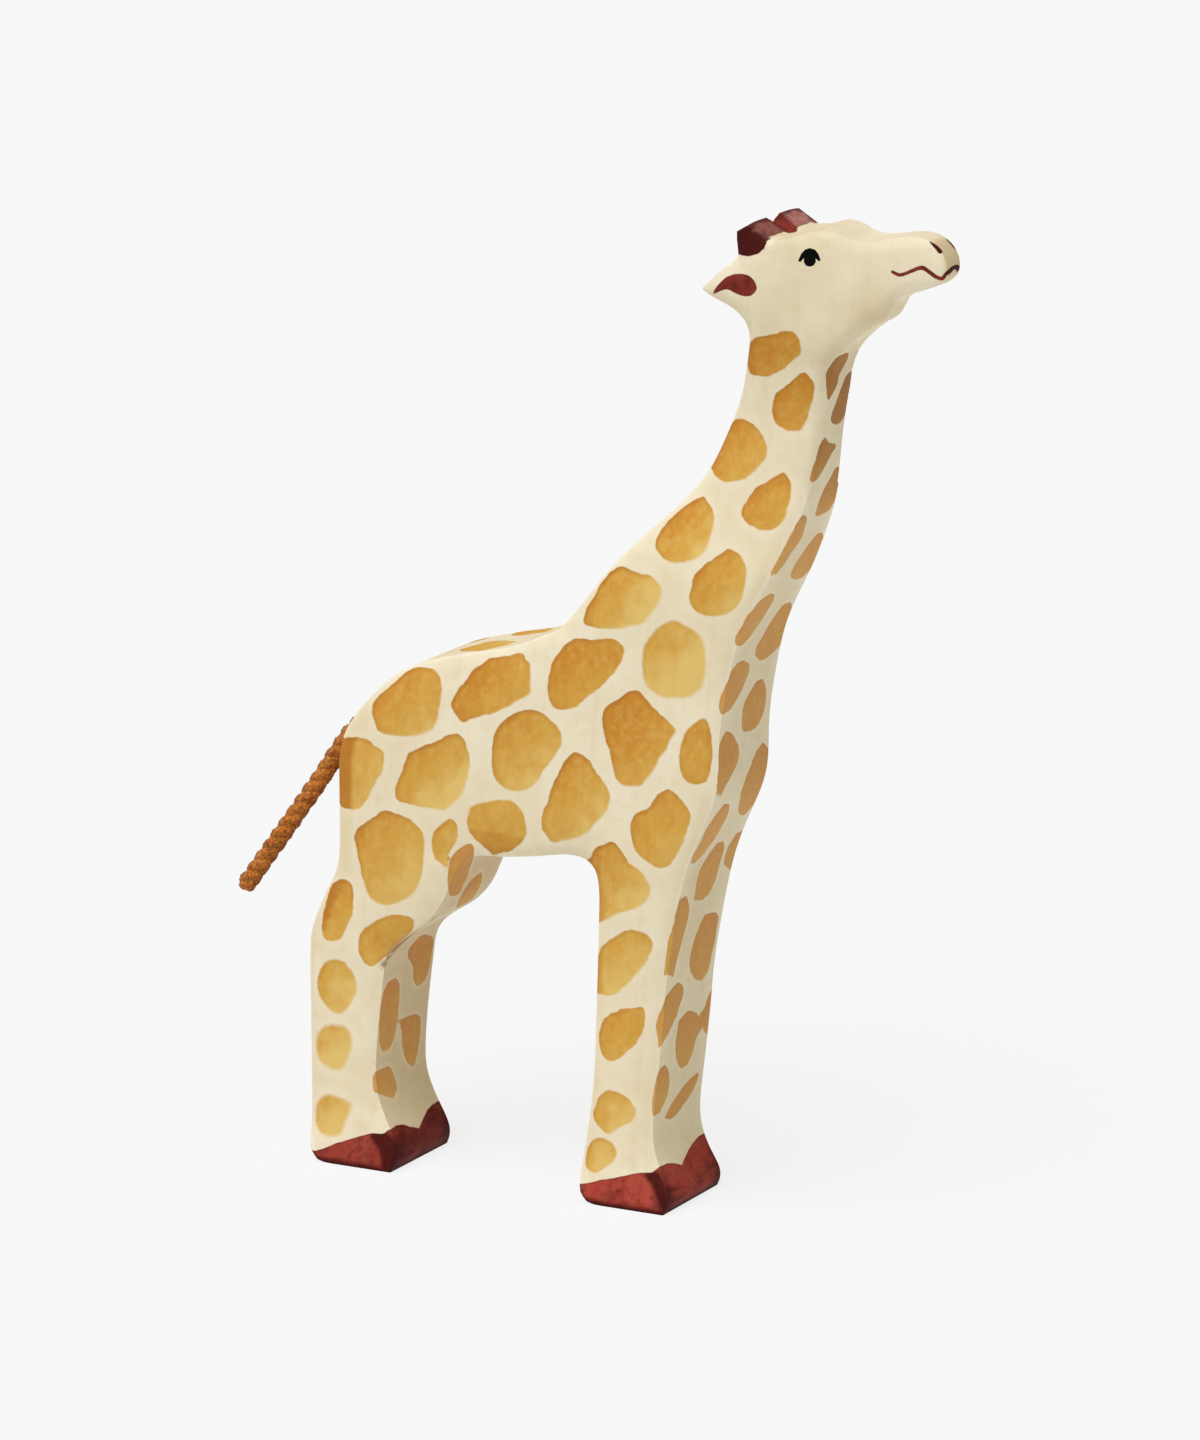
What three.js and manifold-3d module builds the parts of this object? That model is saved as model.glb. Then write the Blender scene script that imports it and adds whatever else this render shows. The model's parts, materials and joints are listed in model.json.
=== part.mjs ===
// Wooden toy giraffe: one sawn and carved piece of wood with a cord tail glued into a drilled hole.
// Millimetres. X points forward, Y to the animal's left and Z up, with the soles on Z = 0.
// The side outline is sawn from a board. The front view and the head's plan view then narrow the
// board, and a knife cut takes the arris between the side faces and the sawn edge off all the way round.
import * as THREE from 'three';
import { mergeVertices } from 'three/addons/utils/BufferGeometryUtils.js';
import Module from 'manifold-3d';

// Side view, lengths along the animal
const stance = 66;
const hindLegWidth = 15.95;
const foreLegWidth = 15.55;
const hindHoofLength = 21.5;
const foreHoofLength = 21.8;
const foreLegInset = 3.85;
const rumpInset = 7.8;
const neckFootReach = 61.25;
const chestOverhang = 13.45;
const neckLean = 42;
const neckTopWidth = 17.4;
const faceLength = 43.35;
const earLength = 9.9;
const hornWidth = 6.2;

// Side view, heights
const bellyHeight = 74;
const bodyDepth = 44.1;
const witherRise = 6.3;
const neckRise = 65.6;
const jawDrop = 11.4;
const headRise = 24.3;
const hornHeight = 2.8;
const hoofHeight = 14;

// Front view and the head's plan view, half widths
const soleHalf = 13;
const legHalf = 12.6;
const bodyHalf = 13.1;
const neckRootHalf = 12.1;
const neckHalf = 7.5;
const headHalf = 12.8;
const browHalf = 9.4;
const noseHalf = 4.3;

// Carved details
const arrisCut = 3;
const soleArris = 0.8;
const hoofArris = 3.4;
const jawArris = 3.6;
const hornArris = 1;
const hornNotchWidth = 6.4;
const hornNotchDepth = 1.2;
const earGrooveWidth = 13;
const planeBlend = 1.5;
const overrun = 2;

// Tail: a cord in a drilled hole, set in glue
const cordDiameter = 4;
const cordClearance = 0.3;
const holeDepth = 9;
const glueLength = 1.6;
const mouthEase = 0.6;
const cordSides = 10;
const cordStepDiameters = 2;
const holeSides = 24;

// Route of the tail outside the wood, as X and Z from the mouth of its hole
const tailRoute = [[0, 0], [-5.2, -4.8], [-13.9, -16.4], [-23, -28.9], [-32.3, -41.8]];
const holeRiseDegrees = 28;
const tailMouthShares = [0.031, 0.528];

// Where the carving changes, as shares of the stretch that each one lies on
const kneeShare = 0.65;
const girthShare = 0.6;
const withersTaperShare = 0.25;
const neckStationShares = [[0.24, 0], [0.39, 0.44], [0.62, 0.9], [0.8, 1]];
const napeStationShares = [[0.92, 0.27], [1, 0.6]];
const cheekShare = 0.35;
const browShare = 0.35;
const muzzleStationShares = [[0.5, 0.36], [0.65, 0.62], [0.85, 0.87], [1, 1]];
const earGrooveShare = 0.9;
const hornNotchFootShare = 0.85;
const arrisLimitShare = 0.6;
const flatDropShare = 0.5;
const roundDropShare = 0.7;
const flatBend = 1.15;
const roundBend = 2;
const hoofArrisShare = 0.7;

// Fineness of the carved surface
const edgeStep = 2.5;
const latticeStep = 5;
const arrisTurns = 3;
const strokeSteps = 3;
const keptDepthShare = 0.8;
const crowdingShare = 0.6;
const hullScale = 20;

// Places that follow from the sizes above
const backHeight = bellyHeight + bodyDepth;
const neckFootHeight = backHeight + witherRise;
const napeHeight = neckFootHeight + neckRise;
const figureHeight = napeHeight + headRise;
const foreheadHeight = figureHeight - hornHeight;
const throatHeight = napeHeight - jawDrop;
const napeReach = neckFootReach + neckLean;
const throatReach = napeReach + neckTopWidth;
const noseReach = napeReach + faceLength;
const foreLegRear = stance + foreLegInset;
const foreLegFront = foreLegRear + foreLegWidth;
const chestReach = foreLegFront + chestOverhang;
const middle = noseReach / 2;

const paintedWood = new THREE.MeshStandardMaterial({ color: 0xe8dcbc, roughness: 0.55, metalness: 0 });
const tailYarn = new THREE.MeshStandardMaterial({ color: 0x9a5a26, roughness: 0.9, metalness: 0 });
const setGlue = new THREE.MeshStandardMaterial({ color: 0xd8c48e, roughness: 0.3, metalness: 0 });

// Turns pairs of shares into points of the side view, between two reaches and two heights.
function patch(fromReach, toReach, fromHeight, toHeight, pairs) {
  return pairs.map(([across, up]) => new THREE.Vector2(
    THREE.MathUtils.lerp(fromReach, toReach, across) - middle,
    THREE.MathUtils.lerp(fromHeight, toHeight, up),
  ));
}

// Rear edge of the hind legs and rump, then the croup and back up to the foot of the neck
function rearAndBack() {
  const legShares = [[0, 0.325], [0, 0.65], [0.17, 0.73], [0.55, 0.82], [0.9, 0.89], [1, 0.975]];
  const rumpShares = [[0, 0.225], [0.004, 0.416], [0.048, 0.552], [0.142, 0.69], [0.255, 0.82],
    [0.4, 0.908], [0.594, 0.973]];
  const witherShares = [[0.78, 0.19], [1, 1]];
  return [
    ...patch(0, rumpInset, 0, bellyHeight, legShares),
    ...patch(rumpInset, neckFootReach, bellyHeight, backHeight, rumpShares),
    ...patch(rumpInset, neckFootReach, backHeight, neckFootHeight, witherShares),
  ];
}

// Rear edge of the neck and the hollow that runs out to the tip of the ear
function neckRear() {
  const neckShares = [[0.115, 0.084], [0.277, 0.217], [0.453, 0.333], [0.666, 0.465], [0.78, 0.554],
    [0.87, 0.676], [0.944, 0.797], [0.99, 0.905], [1.03, 1]];
  const earShares = [[1.12, 0.14], [0.79, 0.27], [0.36, 0.335], [0.13, 0.37]];
  return [
    ...patch(neckFootReach, napeReach, neckFootHeight, napeHeight, neckShares),
    ...patch(napeReach - earLength, napeReach, napeHeight, figureHeight, earShares),
  ];
}

// The blunt tip of the ear
function earTip() {
  return patch(napeReach - earLength, napeReach, napeHeight, figureHeight, [[0.1, 0.405]]);
}

function earTop() {
  const earShares = [[0.44, 0.54], [0.745, 0.642], [0.955, 0.708]];
  return patch(napeReach - earLength, napeReach, napeHeight, figureHeight, earShares);
}

// The block that both horns are cut from: upright behind, sloping down to the forehead in front
function hornBlock() {
  const hornShares = [[-0.08, 0.536], [0.274, 1], [1, 0]];
  return patch(napeReach, napeReach + hornWidth, foreheadHeight, figureHeight, hornShares);
}

// Brow, nose and the tip of the muzzle, down to the corner of the chin
function face() {
  const browShares = [[0.216, -0.1], [0.289, 0.38], [0.375, 0.76], [0.457, 0.56], [0.525, 0.08]];
  const noseShares = [[0.616, 0.1], [0.748, 0.5], [0.85, 0.65], [0.934, 0.17]];
  const tipShares = [[0.984, 0.9], [1, 0.77], [0.982, 0.68]];
  return [
    ...patch(napeReach, noseReach, foreheadHeight, figureHeight, browShares),
    ...patch(napeReach, noseReach, foreheadHeight, figureHeight, noseShares),
    ...patch(napeReach, noseReach, napeHeight, foreheadHeight, tipShares),
  ];
}

// Chin and jaw, the throat, the front of the neck, the chest and the front legs
function jawToForeleg() {
  const jawShares = [[0.946, 0.622], [0.834, 0.545], [0.752, 0.482], [0.7, 0.375], [0.625, 0.205],
    [0.525, 0.035]];
  const throatShares = [[0.078, 0.76], [0.016, 0.41], [0, 0]];
  const neckShares = [[0.924, 0.819], [0.853, 0.652], [0.735, 0.494], [0.493, 0.281], [0.2, 0.041]];
  const chestShares = [[1.08, 0.876], [1, 0.674], [0.986, 0.494], [0.884, 0.36], [0.587, 0.157]];
  const legShares = [[1.33, 0.986], [1.183, 0.838], [1.061, 0.676], [1.006, 0.541], [0.927, 0.392],
    [0.854, 0.257], [0.878, 0.182]];
  const toeShares = [[0.896, 0.6], [0.996, 0.3], [1, 0.157]];
  return [
    ...patch(napeReach, noseReach, napeHeight, foreheadHeight, jawShares),
    ...patch(throatReach, noseReach, throatHeight, napeHeight, throatShares),
    ...patch(chestReach, throatReach, neckFootHeight, throatHeight, neckShares),
    ...patch(foreLegFront, chestReach, bellyHeight, backHeight, chestShares),
    ...patch(foreLegRear, foreLegFront, 0, bellyHeight, legShares),
    ...patch(stance, stance + foreHoofLength, 0, hoofHeight, toeShares),
  ];
}

// Rear edge of the front legs, the belly and the front edge of the hind legs
function arch() {
  const foreShares = [[-0.22, 0.12], [-0.11, 0.257], [-0.037, 0.405], [0, 0.608], [0.037, 0.81],
    [0.05, 0.945]];
  const bellyShares = [[0.985, 1.012], [0.888, 1.028], [0.757, 1.011], [0.588, 0.993], [0.457, 0.986]];
  const thighShares = [[0.388, 0.954], [0.348, 0.892], [0.307, 0.824], [0.232, 0.762], [0.12, 0.71],
    [0.056, 0.662]];
  const hindShares = [[1.12, 0.568], [1.048, 0.446], [1, 0.324], [1.006, 0.236]];
  const toeShares = [[0.832, 0.88], [0.942, 0.557], [1, 0.3], [0.996, 0.157]];
  return [
    ...patch(foreLegRear, foreLegFront, 0, bellyHeight, foreShares),
    ...patch(hindLegWidth, foreLegRear, 0, bellyHeight, bellyShares),
    ...patch(hindLegWidth, foreLegRear, 0, bellyHeight, thighShares),
    ...patch(0, hindLegWidth, 0, bellyHeight, hindShares),
    ...patch(0, hindHoofLength, 0, hoofHeight, toeShares),
  ];
}

// The sole of one pair of hooves and its heel, from the toe to the rear edge of the leg
function sole(heel, length) {
  const toeShares = [[0.938, 0]];
  const heelShares = [[0.095, 0]];
  const rearShares = [[0, 0.165]];
  const bounds = [heel, heel + length, 0, hoofHeight];
  return [patch(...bounds, toeShares), patch(...bounds, heelShares), patch(...bounds, rearShares)];
}

// The closed side outline: smooth strokes that meet at corners, sampled at an even step
function sideOutline() {
  const strokes = [
    rearAndBack(), neckRear(), earTip(), earTop(), ...hornBlock().map((point) => [point]), face(),
    jawToForeleg(), ...sole(stance, foreHoofLength), arch(), ...sole(0, hindHoofLength),
  ];
  const outline = [];
  let start = strokes.at(-1).at(-1);
  for (const stroke of strokes) {
    const curve = new THREE.SplineCurve([start, ...stroke]);
    const steps = Math.ceil(Math.max(curve.getLength() / edgeStep, stroke.length > 1 ? strokeSteps : 1));
    outline.push(...curve.getSpacedPoints(steps).slice(0, -1));
    start = stroke.at(-1);
  }
  return outline;
}

// Half width left by the front view at a height, and by the plan view of the head at a reach
function carvingCurves() {
  const share = THREE.MathUtils.lerp;
  const neckAt = (up) => share(neckFootHeight, napeHeight, up);
  const faceAt = (along) => share(napeReach, noseReach, along);
  const frontStations = [
    [0, soleHalf],
    [hoofHeight, legHalf],
    [share(0, bellyHeight, kneeShare), legHalf],
    [bellyHeight, bodyHalf],
    [share(bellyHeight, backHeight, girthShare), bodyHalf],
    [backHeight, share(bodyHalf, neckRootHalf, withersTaperShare)],
    ...neckStationShares.map(([up, taper]) => [neckAt(up), share(neckRootHalf, neckHalf, taper)]),
    ...napeStationShares.map(([up, swell]) => [neckAt(up), share(neckHalf, headHalf, swell)]),
    [share(napeHeight, figureHeight, cheekShare), headHalf],
    [figureHeight, headHalf],
  ];
  const planStations = [
    [napeReach, headHalf],
    [napeReach + hornWidth, headHalf],
    [faceAt(browShare), browHalf],
    ...muzzleStationShares.map(([along, taper]) => [faceAt(along), share(browHalf, noseHalf, taper)]),
  ];
  return { front: throughStations(frontStations), plan: throughStations(planStations) };
}

// A smooth curve through [place, value] stations, as a function of the place
function throughStations(stations) {
  const places = stations.map(([place]) => place);
  const values = stations.map(([, value]) => value);
  const curve = new THREE.CubicInterpolant(places, values, 1);
  return (place) => curve.evaluate(THREE.MathUtils.clamp(place, places[0], places.at(-1)))[0];
}

const carving = carvingCurves();

// Half width of the wood at a point of the side view: the narrower view wins, blended where they meet
function halfWidth(point) {
  const front = carving.front(point.y);
  if (point.y < throatHeight) return front;
  const plan = carving.plan(point.x + middle);
  const overlap = Math.max(planeBlend - Math.abs(front - plan), 0) / planeBlend;
  return Math.min(front, plan) - overlap * overlap * planeBlend / 4;
}

// The cut along the arris at a point of the side view: how far it reaches over the side face, how much
// it takes off the half width at the edge, and how it bends. Flat all round, but round under the jaw.
function arrisAt(point, half) {
  const { lerp, smoothstep } = THREE.MathUtils;
  const reach = point.x + middle;
  const hoof = smoothstep(point.y, 0, hoofHeight * hoofArrisShare);
  const leg = smoothstep(point.y, hoofHeight * hoofArrisShare, 2 * hoofHeight);
  const aboveEar = smoothstep(point.y, foreheadHeight - 2 * hornHeight, foreheadHeight);
  const horns = aboveEar * (1 - smoothstep(reach, napeReach + hornWidth, napeReach + 2 * hornWidth));
  const underJaw = smoothstep(reach, throatReach - jawDrop / 2, throatReach);
  const jaw = underJaw * (1 - smoothstep(point.y, napeHeight, napeHeight + headRise / 2));
  const legReach = lerp(lerp(soleArris, hoofArris, hoof), arrisCut, leg);
  const over = Math.min(lerp(lerp(legReach, jawArris, jaw), hornArris, horns), half * arrisLimitShare);
  return { over, drop: over * lerp(flatDropShare, roundDropShare, jaw), bend: lerp(flatBend, roundBend, jaw) };
}

// Distance from a point to the closed outline, and whether the point lies inside it
function toOutline(point, outline) {
  const along = new THREE.Vector2();
  const apart = new THREE.Vector2();
  let distance = Infinity;
  let inside = false;
  let from = outline.at(-1);
  for (const to of outline) {
    along.subVectors(to, from);
    apart.subVectors(point, from);
    const share = THREE.MathUtils.clamp(apart.dot(along) / along.lengthSq(), 0, 1);
    distance = Math.min(distance, apart.addScaledVector(along, -share).length());
    const crosses = from.y > point.y !== to.y > point.y;
    if (crosses && point.x < from.x + along.x * (point.y - from.y) / along.y) inside = !inside;
    from = to;
  }
  return { distance, inside };
}

// Points inside the outline: rows that follow the arris, then an even lattice over the side face
function facePoints(outline) {
  const points = [];
  outline.forEach((point, i) => {
    const before = outline.at(i - 1);
    const after = outline[(i + 1) % outline.length];
    const inward = after.clone().sub(before).normalize().rotateAround(new THREE.Vector2(), -Math.PI / 2);
    const { over } = arrisAt(point, halfWidth(point));
    for (let turn = 1; turn <= arrisTurns; turn += 1) {
      const depth = over * (1 - Math.cos(turn / arrisTurns * Math.PI / 2));
      const candidate = point.clone().addScaledVector(inward, depth);
      const { distance, inside } = toOutline(candidate, outline);
      const crowded = points.some((other) => other.distanceTo(candidate) < depth * crowdingShare);
      if (inside && distance > depth * keptDepthShare && !crowded) points.push(candidate);
    }
  });
  const rowStep = latticeStep * Math.sqrt(3) / 2;
  const box = new THREE.Box2().setFromPoints(outline);
  for (let row = 0; box.min.y + row * rowStep < box.max.y; row += 1) {
    for (let x = box.min.x + (row % 2) * latticeStep / 2; x < box.max.x; x += latticeStep) {
      const candidate = new THREE.Vector2(x, box.min.y + row * rowStep);
      const { distance, inside } = toOutline(candidate, outline);
      if (inside && distance > arrisCut + latticeStep / 2) points.push(candidate);
    }
  }
  return points;
}

// Delaunay triangles over a set of points, as triples of indices, by adding one point at a time
function triangulate(points) {
  const box = new THREE.Box2().setFromPoints(points);
  const centre = box.getCenter(new THREE.Vector2());
  const reach = box.getSize(new THREE.Vector2()).length() * hullScale;
  const hull = [[-1, -1], [1, -1], [0, 1]].map(([x, y]) => new THREE.Vector2(x, y).multiplyScalar(reach));
  const all = [...points, ...hull.map((corner) => corner.add(centre))];
  const order = points.map((_, i) => i).sort((a, b) => points[a].x - points[b].x);
  let open = [circled([points.length, points.length + 1, points.length + 2], all)];
  const done = [];
  for (const i of order) {
    const rim = new Map();
    open = open.filter((triangle) => {
      if (points[i].x > triangle.centre.x + triangle.radius) {
        done.push(triangle);
        return false;
      }
      if (points[i].distanceTo(triangle.centre) >= triangle.radius) return true;
      triangle.corners.forEach((corner, side) => {
        const next = triangle.corners[(side + 1) % 3];
        const key = `${Math.min(corner, next)} ${Math.max(corner, next)}`;
        if (!rim.delete(key)) rim.set(key, [corner, next]);
      });
      return false;
    });
    rim.forEach(([from, to]) => open.push(circled([from, to, i], all)));
  }
  return [...done, ...open].map(({ corners }) => corners)
    .filter((corners) => corners.every((corner) => corner < points.length));
}

// A triangle with the circle through its corners
function circled(corners, points) {
  const [a, b, c] = corners.map((corner) => points[corner]);
  const toB = b.clone().sub(a);
  const toC = c.clone().sub(a);
  const twice = 2 * toB.cross(toC);
  const centre = new THREE.Vector2(
    (toC.y * toB.lengthSq() - toB.y * toC.lengthSq()) / twice,
    (toB.x * toC.lengthSq() - toC.x * toB.lengthSq()) / twice,
  );
  return { corners, centre: centre.clone().add(a), radius: centre.length() };
}

// The carved blank as one closed surface: two mirrored side faces and the sawn edge between them
function carvedBlank() {
  const outline = sideOutline();
  const points = [...outline, ...facePoints(outline)];
  const triangles = triangulate(points).filter(([a, b, c]) => {
    const middlePoint = points[a].clone().add(points[b]).add(points[c]).divideScalar(3);
    return toOutline(middlePoint, outline).inside;
  });
  const positions = [];
  for (const side of [-1, 1]) {
    points.forEach((point, i) => {
      const half = halfWidth(point);
      const { over, drop, bend } = arrisAt(point, half);
      const depth = i < outline.length ? 0 : toOutline(point, outline).distance;
      const width = half - drop * Math.max(1 - depth / over, 0) ** bend;
      positions.push(point.x, side * width, point.y);
    });
  }
  const indices = [];
  for (const [a, b, c] of triangles) {
    const upright = points[b].clone().sub(points[a]).cross(points[c].clone().sub(points[a])) > 0;
    const [first, second] = upright ? [b, c] : [c, b];
    indices.push(a, first, second, a + points.length, second + points.length, first + points.length);
  }
  outline.forEach((_, i) => {
    const next = (i + 1) % outline.length;
    const far = i + points.length;
    const farNext = next + points.length;
    indices.push(i, next, farNext, i, farNext, far);
  });
  const geometry = new THREE.BufferGeometry();
  geometry.setAttribute('position', new THREE.Float32BufferAttribute(positions, 3));
  geometry.setIndex(indices);
  return geometry;
}

const wasm = await Module();
wasm.setup();

// A closed geometry as a solid that can be joined and cut
function toSolid(geometry) {
  const bare = geometry.clone();
  bare.deleteAttribute('normal');
  bare.deleteAttribute('uv');
  const merged = mergeVertices(bare);
  return new wasm.Manifold(new wasm.Mesh({
    numProp: 3,
    vertProperties: new Float32Array(merged.getAttribute('position').array),
    triVerts: new Uint32Array(merged.index.array),
  }));
}

function toGeometry(solid) {
  const mesh = solid.getMesh();
  const geometry = new THREE.BufferGeometry();
  geometry.setAttribute('position', new THREE.BufferAttribute(mesh.vertProperties, 3));
  geometry.setIndex(new THREE.BufferAttribute(mesh.triVerts, 1));
  geometry.computeVertexNormals();
  return geometry;
}

// A V cut that runs down a slope of the horn block, from its ridge over the slope's lower end
function hornNotch(ridge, end, sink) {
  const run = end.x - ridge.x;
  const fall = ridge.y - hornNotchDepth - (end.y - sink);
  const length = Math.hypot(run, fall) + hornWidth;
  const top = hornNotchDepth + overrun;
  const flank = hornNotchWidth / 2 * top / hornNotchDepth;
  const section = new THREE.Shape([
    new THREE.Vector2(0, 0), new THREE.Vector2(flank, top), new THREE.Vector2(-flank, top),
  ]);
  const cut = new THREE.ExtrudeGeometry(section, { depth: length, bevelEnabled: false });
  cut.rotateX(Math.PI / 2).rotateZ(Math.PI / 2).translate(-length, 0, 0);
  cut.rotateY(Math.atan2(fall, Math.abs(run)));
  if (run < 0) cut.rotateZ(Math.PI);
  return toSolid(cut.translate(end.x, 0, end.y - sink));
}

// The cuts that part the horn block into two horns: down its front slope and down its rear one
function hornNotches() {
  const [rear, ridge, foot] = hornBlock();
  const back = new THREE.Vector2(rear.x - overrun, rear.y - (ridge.y - rear.y) * overrun / (ridge.x - rear.x));
  return hornNotch(ridge, foot, hornNotchDepth * hornNotchFootShare)
    .add(hornNotch(ridge, back, hornNotchDepth));
}

// The V groove behind the head that parts the two ears
function earGroove() {
  const depth = earLength * earGrooveShare;
  const back = depth + overrun;
  const flank = earGrooveWidth / 2 * back / depth;
  const section = new THREE.Shape([
    new THREE.Vector2(0, 0), new THREE.Vector2(-back, flank), new THREE.Vector2(-back, -flank),
  ]);
  const cut = new THREE.ExtrudeGeometry(section, { depth: headRise, bevelEnabled: false });
  return cut.translate(napeReach - earLength + depth - middle, 0, napeHeight);
}

// Where the tail leaves the rump, and the direction of its hole into the wood
function tailSocket() {
  const [mouth] = patch(rumpInset, neckFootReach, bellyHeight, backHeight, [tailMouthShares]);
  const angle = THREE.MathUtils.degToRad(holeRiseDegrees);
  return {
    mouth: new THREE.Vector3(mouth.x, 0, mouth.y),
    inward: new THREE.Vector3(Math.cos(angle), 0, Math.sin(angle)),
  };
}

// A round rod along the tail hole, between two depths from its mouth, with a radius at each depth
function rodInHole(fromRadius, toRadius, fromDepth, toDepth) {
  const { mouth, inward } = tailSocket();
  const rod = new THREE.CylinderGeometry(toRadius, fromRadius, toDepth - fromDepth, holeSides);
  rod.applyQuaternion(new THREE.Quaternion().setFromUnitVectors(new THREE.Vector3(0, 1, 0), inward));
  const centre = mouth.addScaledVector(inward, (fromDepth + toDepth) / 2);
  return rod.translate(centre.x, centre.y, centre.z);
}

// The tail cord, from its end in the hole to its cut end behind the hocks
function tailTube() {
  const { mouth, inward } = tailSocket();
  const buried = holeDepth - glueLength - 2 * cordClearance;
  const route = tailRoute.map(([x, z]) => new THREE.Vector3(x, 0, z).add(mouth));
  const curve = new THREE.CatmullRomCurve3([mouth.clone().addScaledVector(inward, buried), ...route]);
  const corners = Array.from({ length: cordSides }, (_, i) => (i + 0.5) / cordSides * 2 * Math.PI);
  const radius = cordDiameter / 2;
  const section = new THREE.Shape(corners.map((turn) => new THREE.Vector2(
    radius * Math.cos(turn),
    radius * Math.sin(turn),
  )));
  const steps = Math.round(curve.getLength() / (cordStepDiameters * cordDiameter));
  return new THREE.ExtrudeGeometry(section, { extrudePath: curve, steps });
}

// The blank with its horns and ears parted, and the tail hole drilled and its mouth eased
function carvedBody() {
  const holeRadius = cordDiameter / 2 + cordClearance;
  const outside = overrun + holeRadius;
  const solid = toSolid(carvedBlank())
    .subtract(hornNotches())
    .subtract(toSolid(earGroove()))
    .subtract(toSolid(rodInHole(holeRadius, holeRadius, -outside, holeDepth)))
    .subtract(toSolid(rodInHole(holeRadius + outside + mouthEase, holeRadius, -outside, mouthEase)));
  return toGeometry(solid);
}

function gluePlug() {
  const radius = cordDiameter / 2;
  const bottom = holeDepth - cordClearance;
  return rodInHole(radius, radius, bottom - glueLength, bottom);
}

function named(name, geometry, material) {
  const mesh = new THREE.Mesh(geometry, material);
  mesh.name = name;
  return mesh;
}

const giraffe = new THREE.Group();
giraffe.add(
  named('carved_body', carvedBody(), paintedWood),
  named('tail_cord', tailTube(), tailYarn),
  named('tail_glue', gluePlug(), setGlue),
);

export default giraffe;
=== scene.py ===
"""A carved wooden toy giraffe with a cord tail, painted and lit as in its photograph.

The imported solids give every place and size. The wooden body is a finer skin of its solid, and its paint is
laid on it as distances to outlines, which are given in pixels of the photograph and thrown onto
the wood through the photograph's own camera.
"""

import json
import logging
import math
from dataclasses import dataclass, field
from enum import Enum

import bmesh
import bpy
import numpy as np
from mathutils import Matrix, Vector
from mathutils.bvhtree import BVHTree

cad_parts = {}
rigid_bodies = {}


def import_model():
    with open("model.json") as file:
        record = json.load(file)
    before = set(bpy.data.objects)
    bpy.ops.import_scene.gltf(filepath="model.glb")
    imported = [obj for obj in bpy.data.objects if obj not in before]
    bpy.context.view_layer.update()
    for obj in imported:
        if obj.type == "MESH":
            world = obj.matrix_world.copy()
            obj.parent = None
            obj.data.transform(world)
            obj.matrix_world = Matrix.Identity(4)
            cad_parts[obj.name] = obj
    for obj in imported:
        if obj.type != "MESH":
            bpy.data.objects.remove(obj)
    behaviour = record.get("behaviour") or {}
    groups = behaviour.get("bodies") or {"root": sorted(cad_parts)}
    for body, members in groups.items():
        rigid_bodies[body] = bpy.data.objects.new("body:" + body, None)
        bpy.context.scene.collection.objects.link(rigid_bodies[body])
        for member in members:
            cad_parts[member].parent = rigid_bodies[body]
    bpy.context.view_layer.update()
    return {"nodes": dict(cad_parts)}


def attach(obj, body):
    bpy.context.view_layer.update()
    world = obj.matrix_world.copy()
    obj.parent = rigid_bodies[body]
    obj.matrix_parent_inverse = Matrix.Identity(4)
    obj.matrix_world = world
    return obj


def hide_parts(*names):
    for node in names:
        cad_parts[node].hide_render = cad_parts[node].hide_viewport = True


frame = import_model()

log = logging.getLogger("giraffe")
Pixel = tuple[float, float]
Colour = tuple[float, float, float]
MM = 0.001


# Shader building


class Socket:
    """A value in a shader, which takes part in Python expressions."""

    def __init__(self, shader: "Shader", source: bpy.types.NodeSocket) -> None:
        """Wraps one output socket of a shader."""
        self.shader = shader
        self.source = source

    def _math(self, operation: str, *values: "Socket | float") -> "Socket":
        """Adds a Math node on the given values, in their order."""
        return self.shader.node("ShaderNodeMath", {"operation": operation}, dict(enumerate(values)))

    def __add__(self, other: "Socket | float") -> "Socket":
        """self + other."""
        return self._math("ADD", self, other)

    __radd__ = __add__

    def __sub__(self, other: "Socket | float") -> "Socket":
        """self - other."""
        return self._math("SUBTRACT", self, other)

    def __rsub__(self, other: "Socket | float") -> "Socket":
        """other - self."""
        return self._math("SUBTRACT", other, self)

    def __mul__(self, other: "Socket | float") -> "Socket":
        """self * other."""
        return self._math("MULTIPLY", self, other)

    __rmul__ = __mul__

    def __truediv__(self, other: "Socket | float") -> "Socket":
        """self / other."""
        return self._math("DIVIDE", self, other)

    def __rtruediv__(self, other: "Socket | float") -> "Socket":
        """other / self."""
        return self._math("DIVIDE", other, self)

    def higher(self, other: "Socket | float") -> "Socket":
        """The higher of self and other."""
        return self._math("MAXIMUM", self, other)

    def step(self, start: float, end: float) -> "Socket":
        """A smooth step.

        Args:
            start: The value at which the step is 0.
            end: The value at which the step is 1, which may be below start.

        Returns:
            A value from 0 to 1.
        """
        if start > end:
            return 1 - self.step(end, start)
        values = {"Value": self, "From Min": start, "From Max": end}
        return self.shader.node("ShaderNodeMapRange", {"interpolation_type": "SMOOTHSTEP"}, values)


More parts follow.
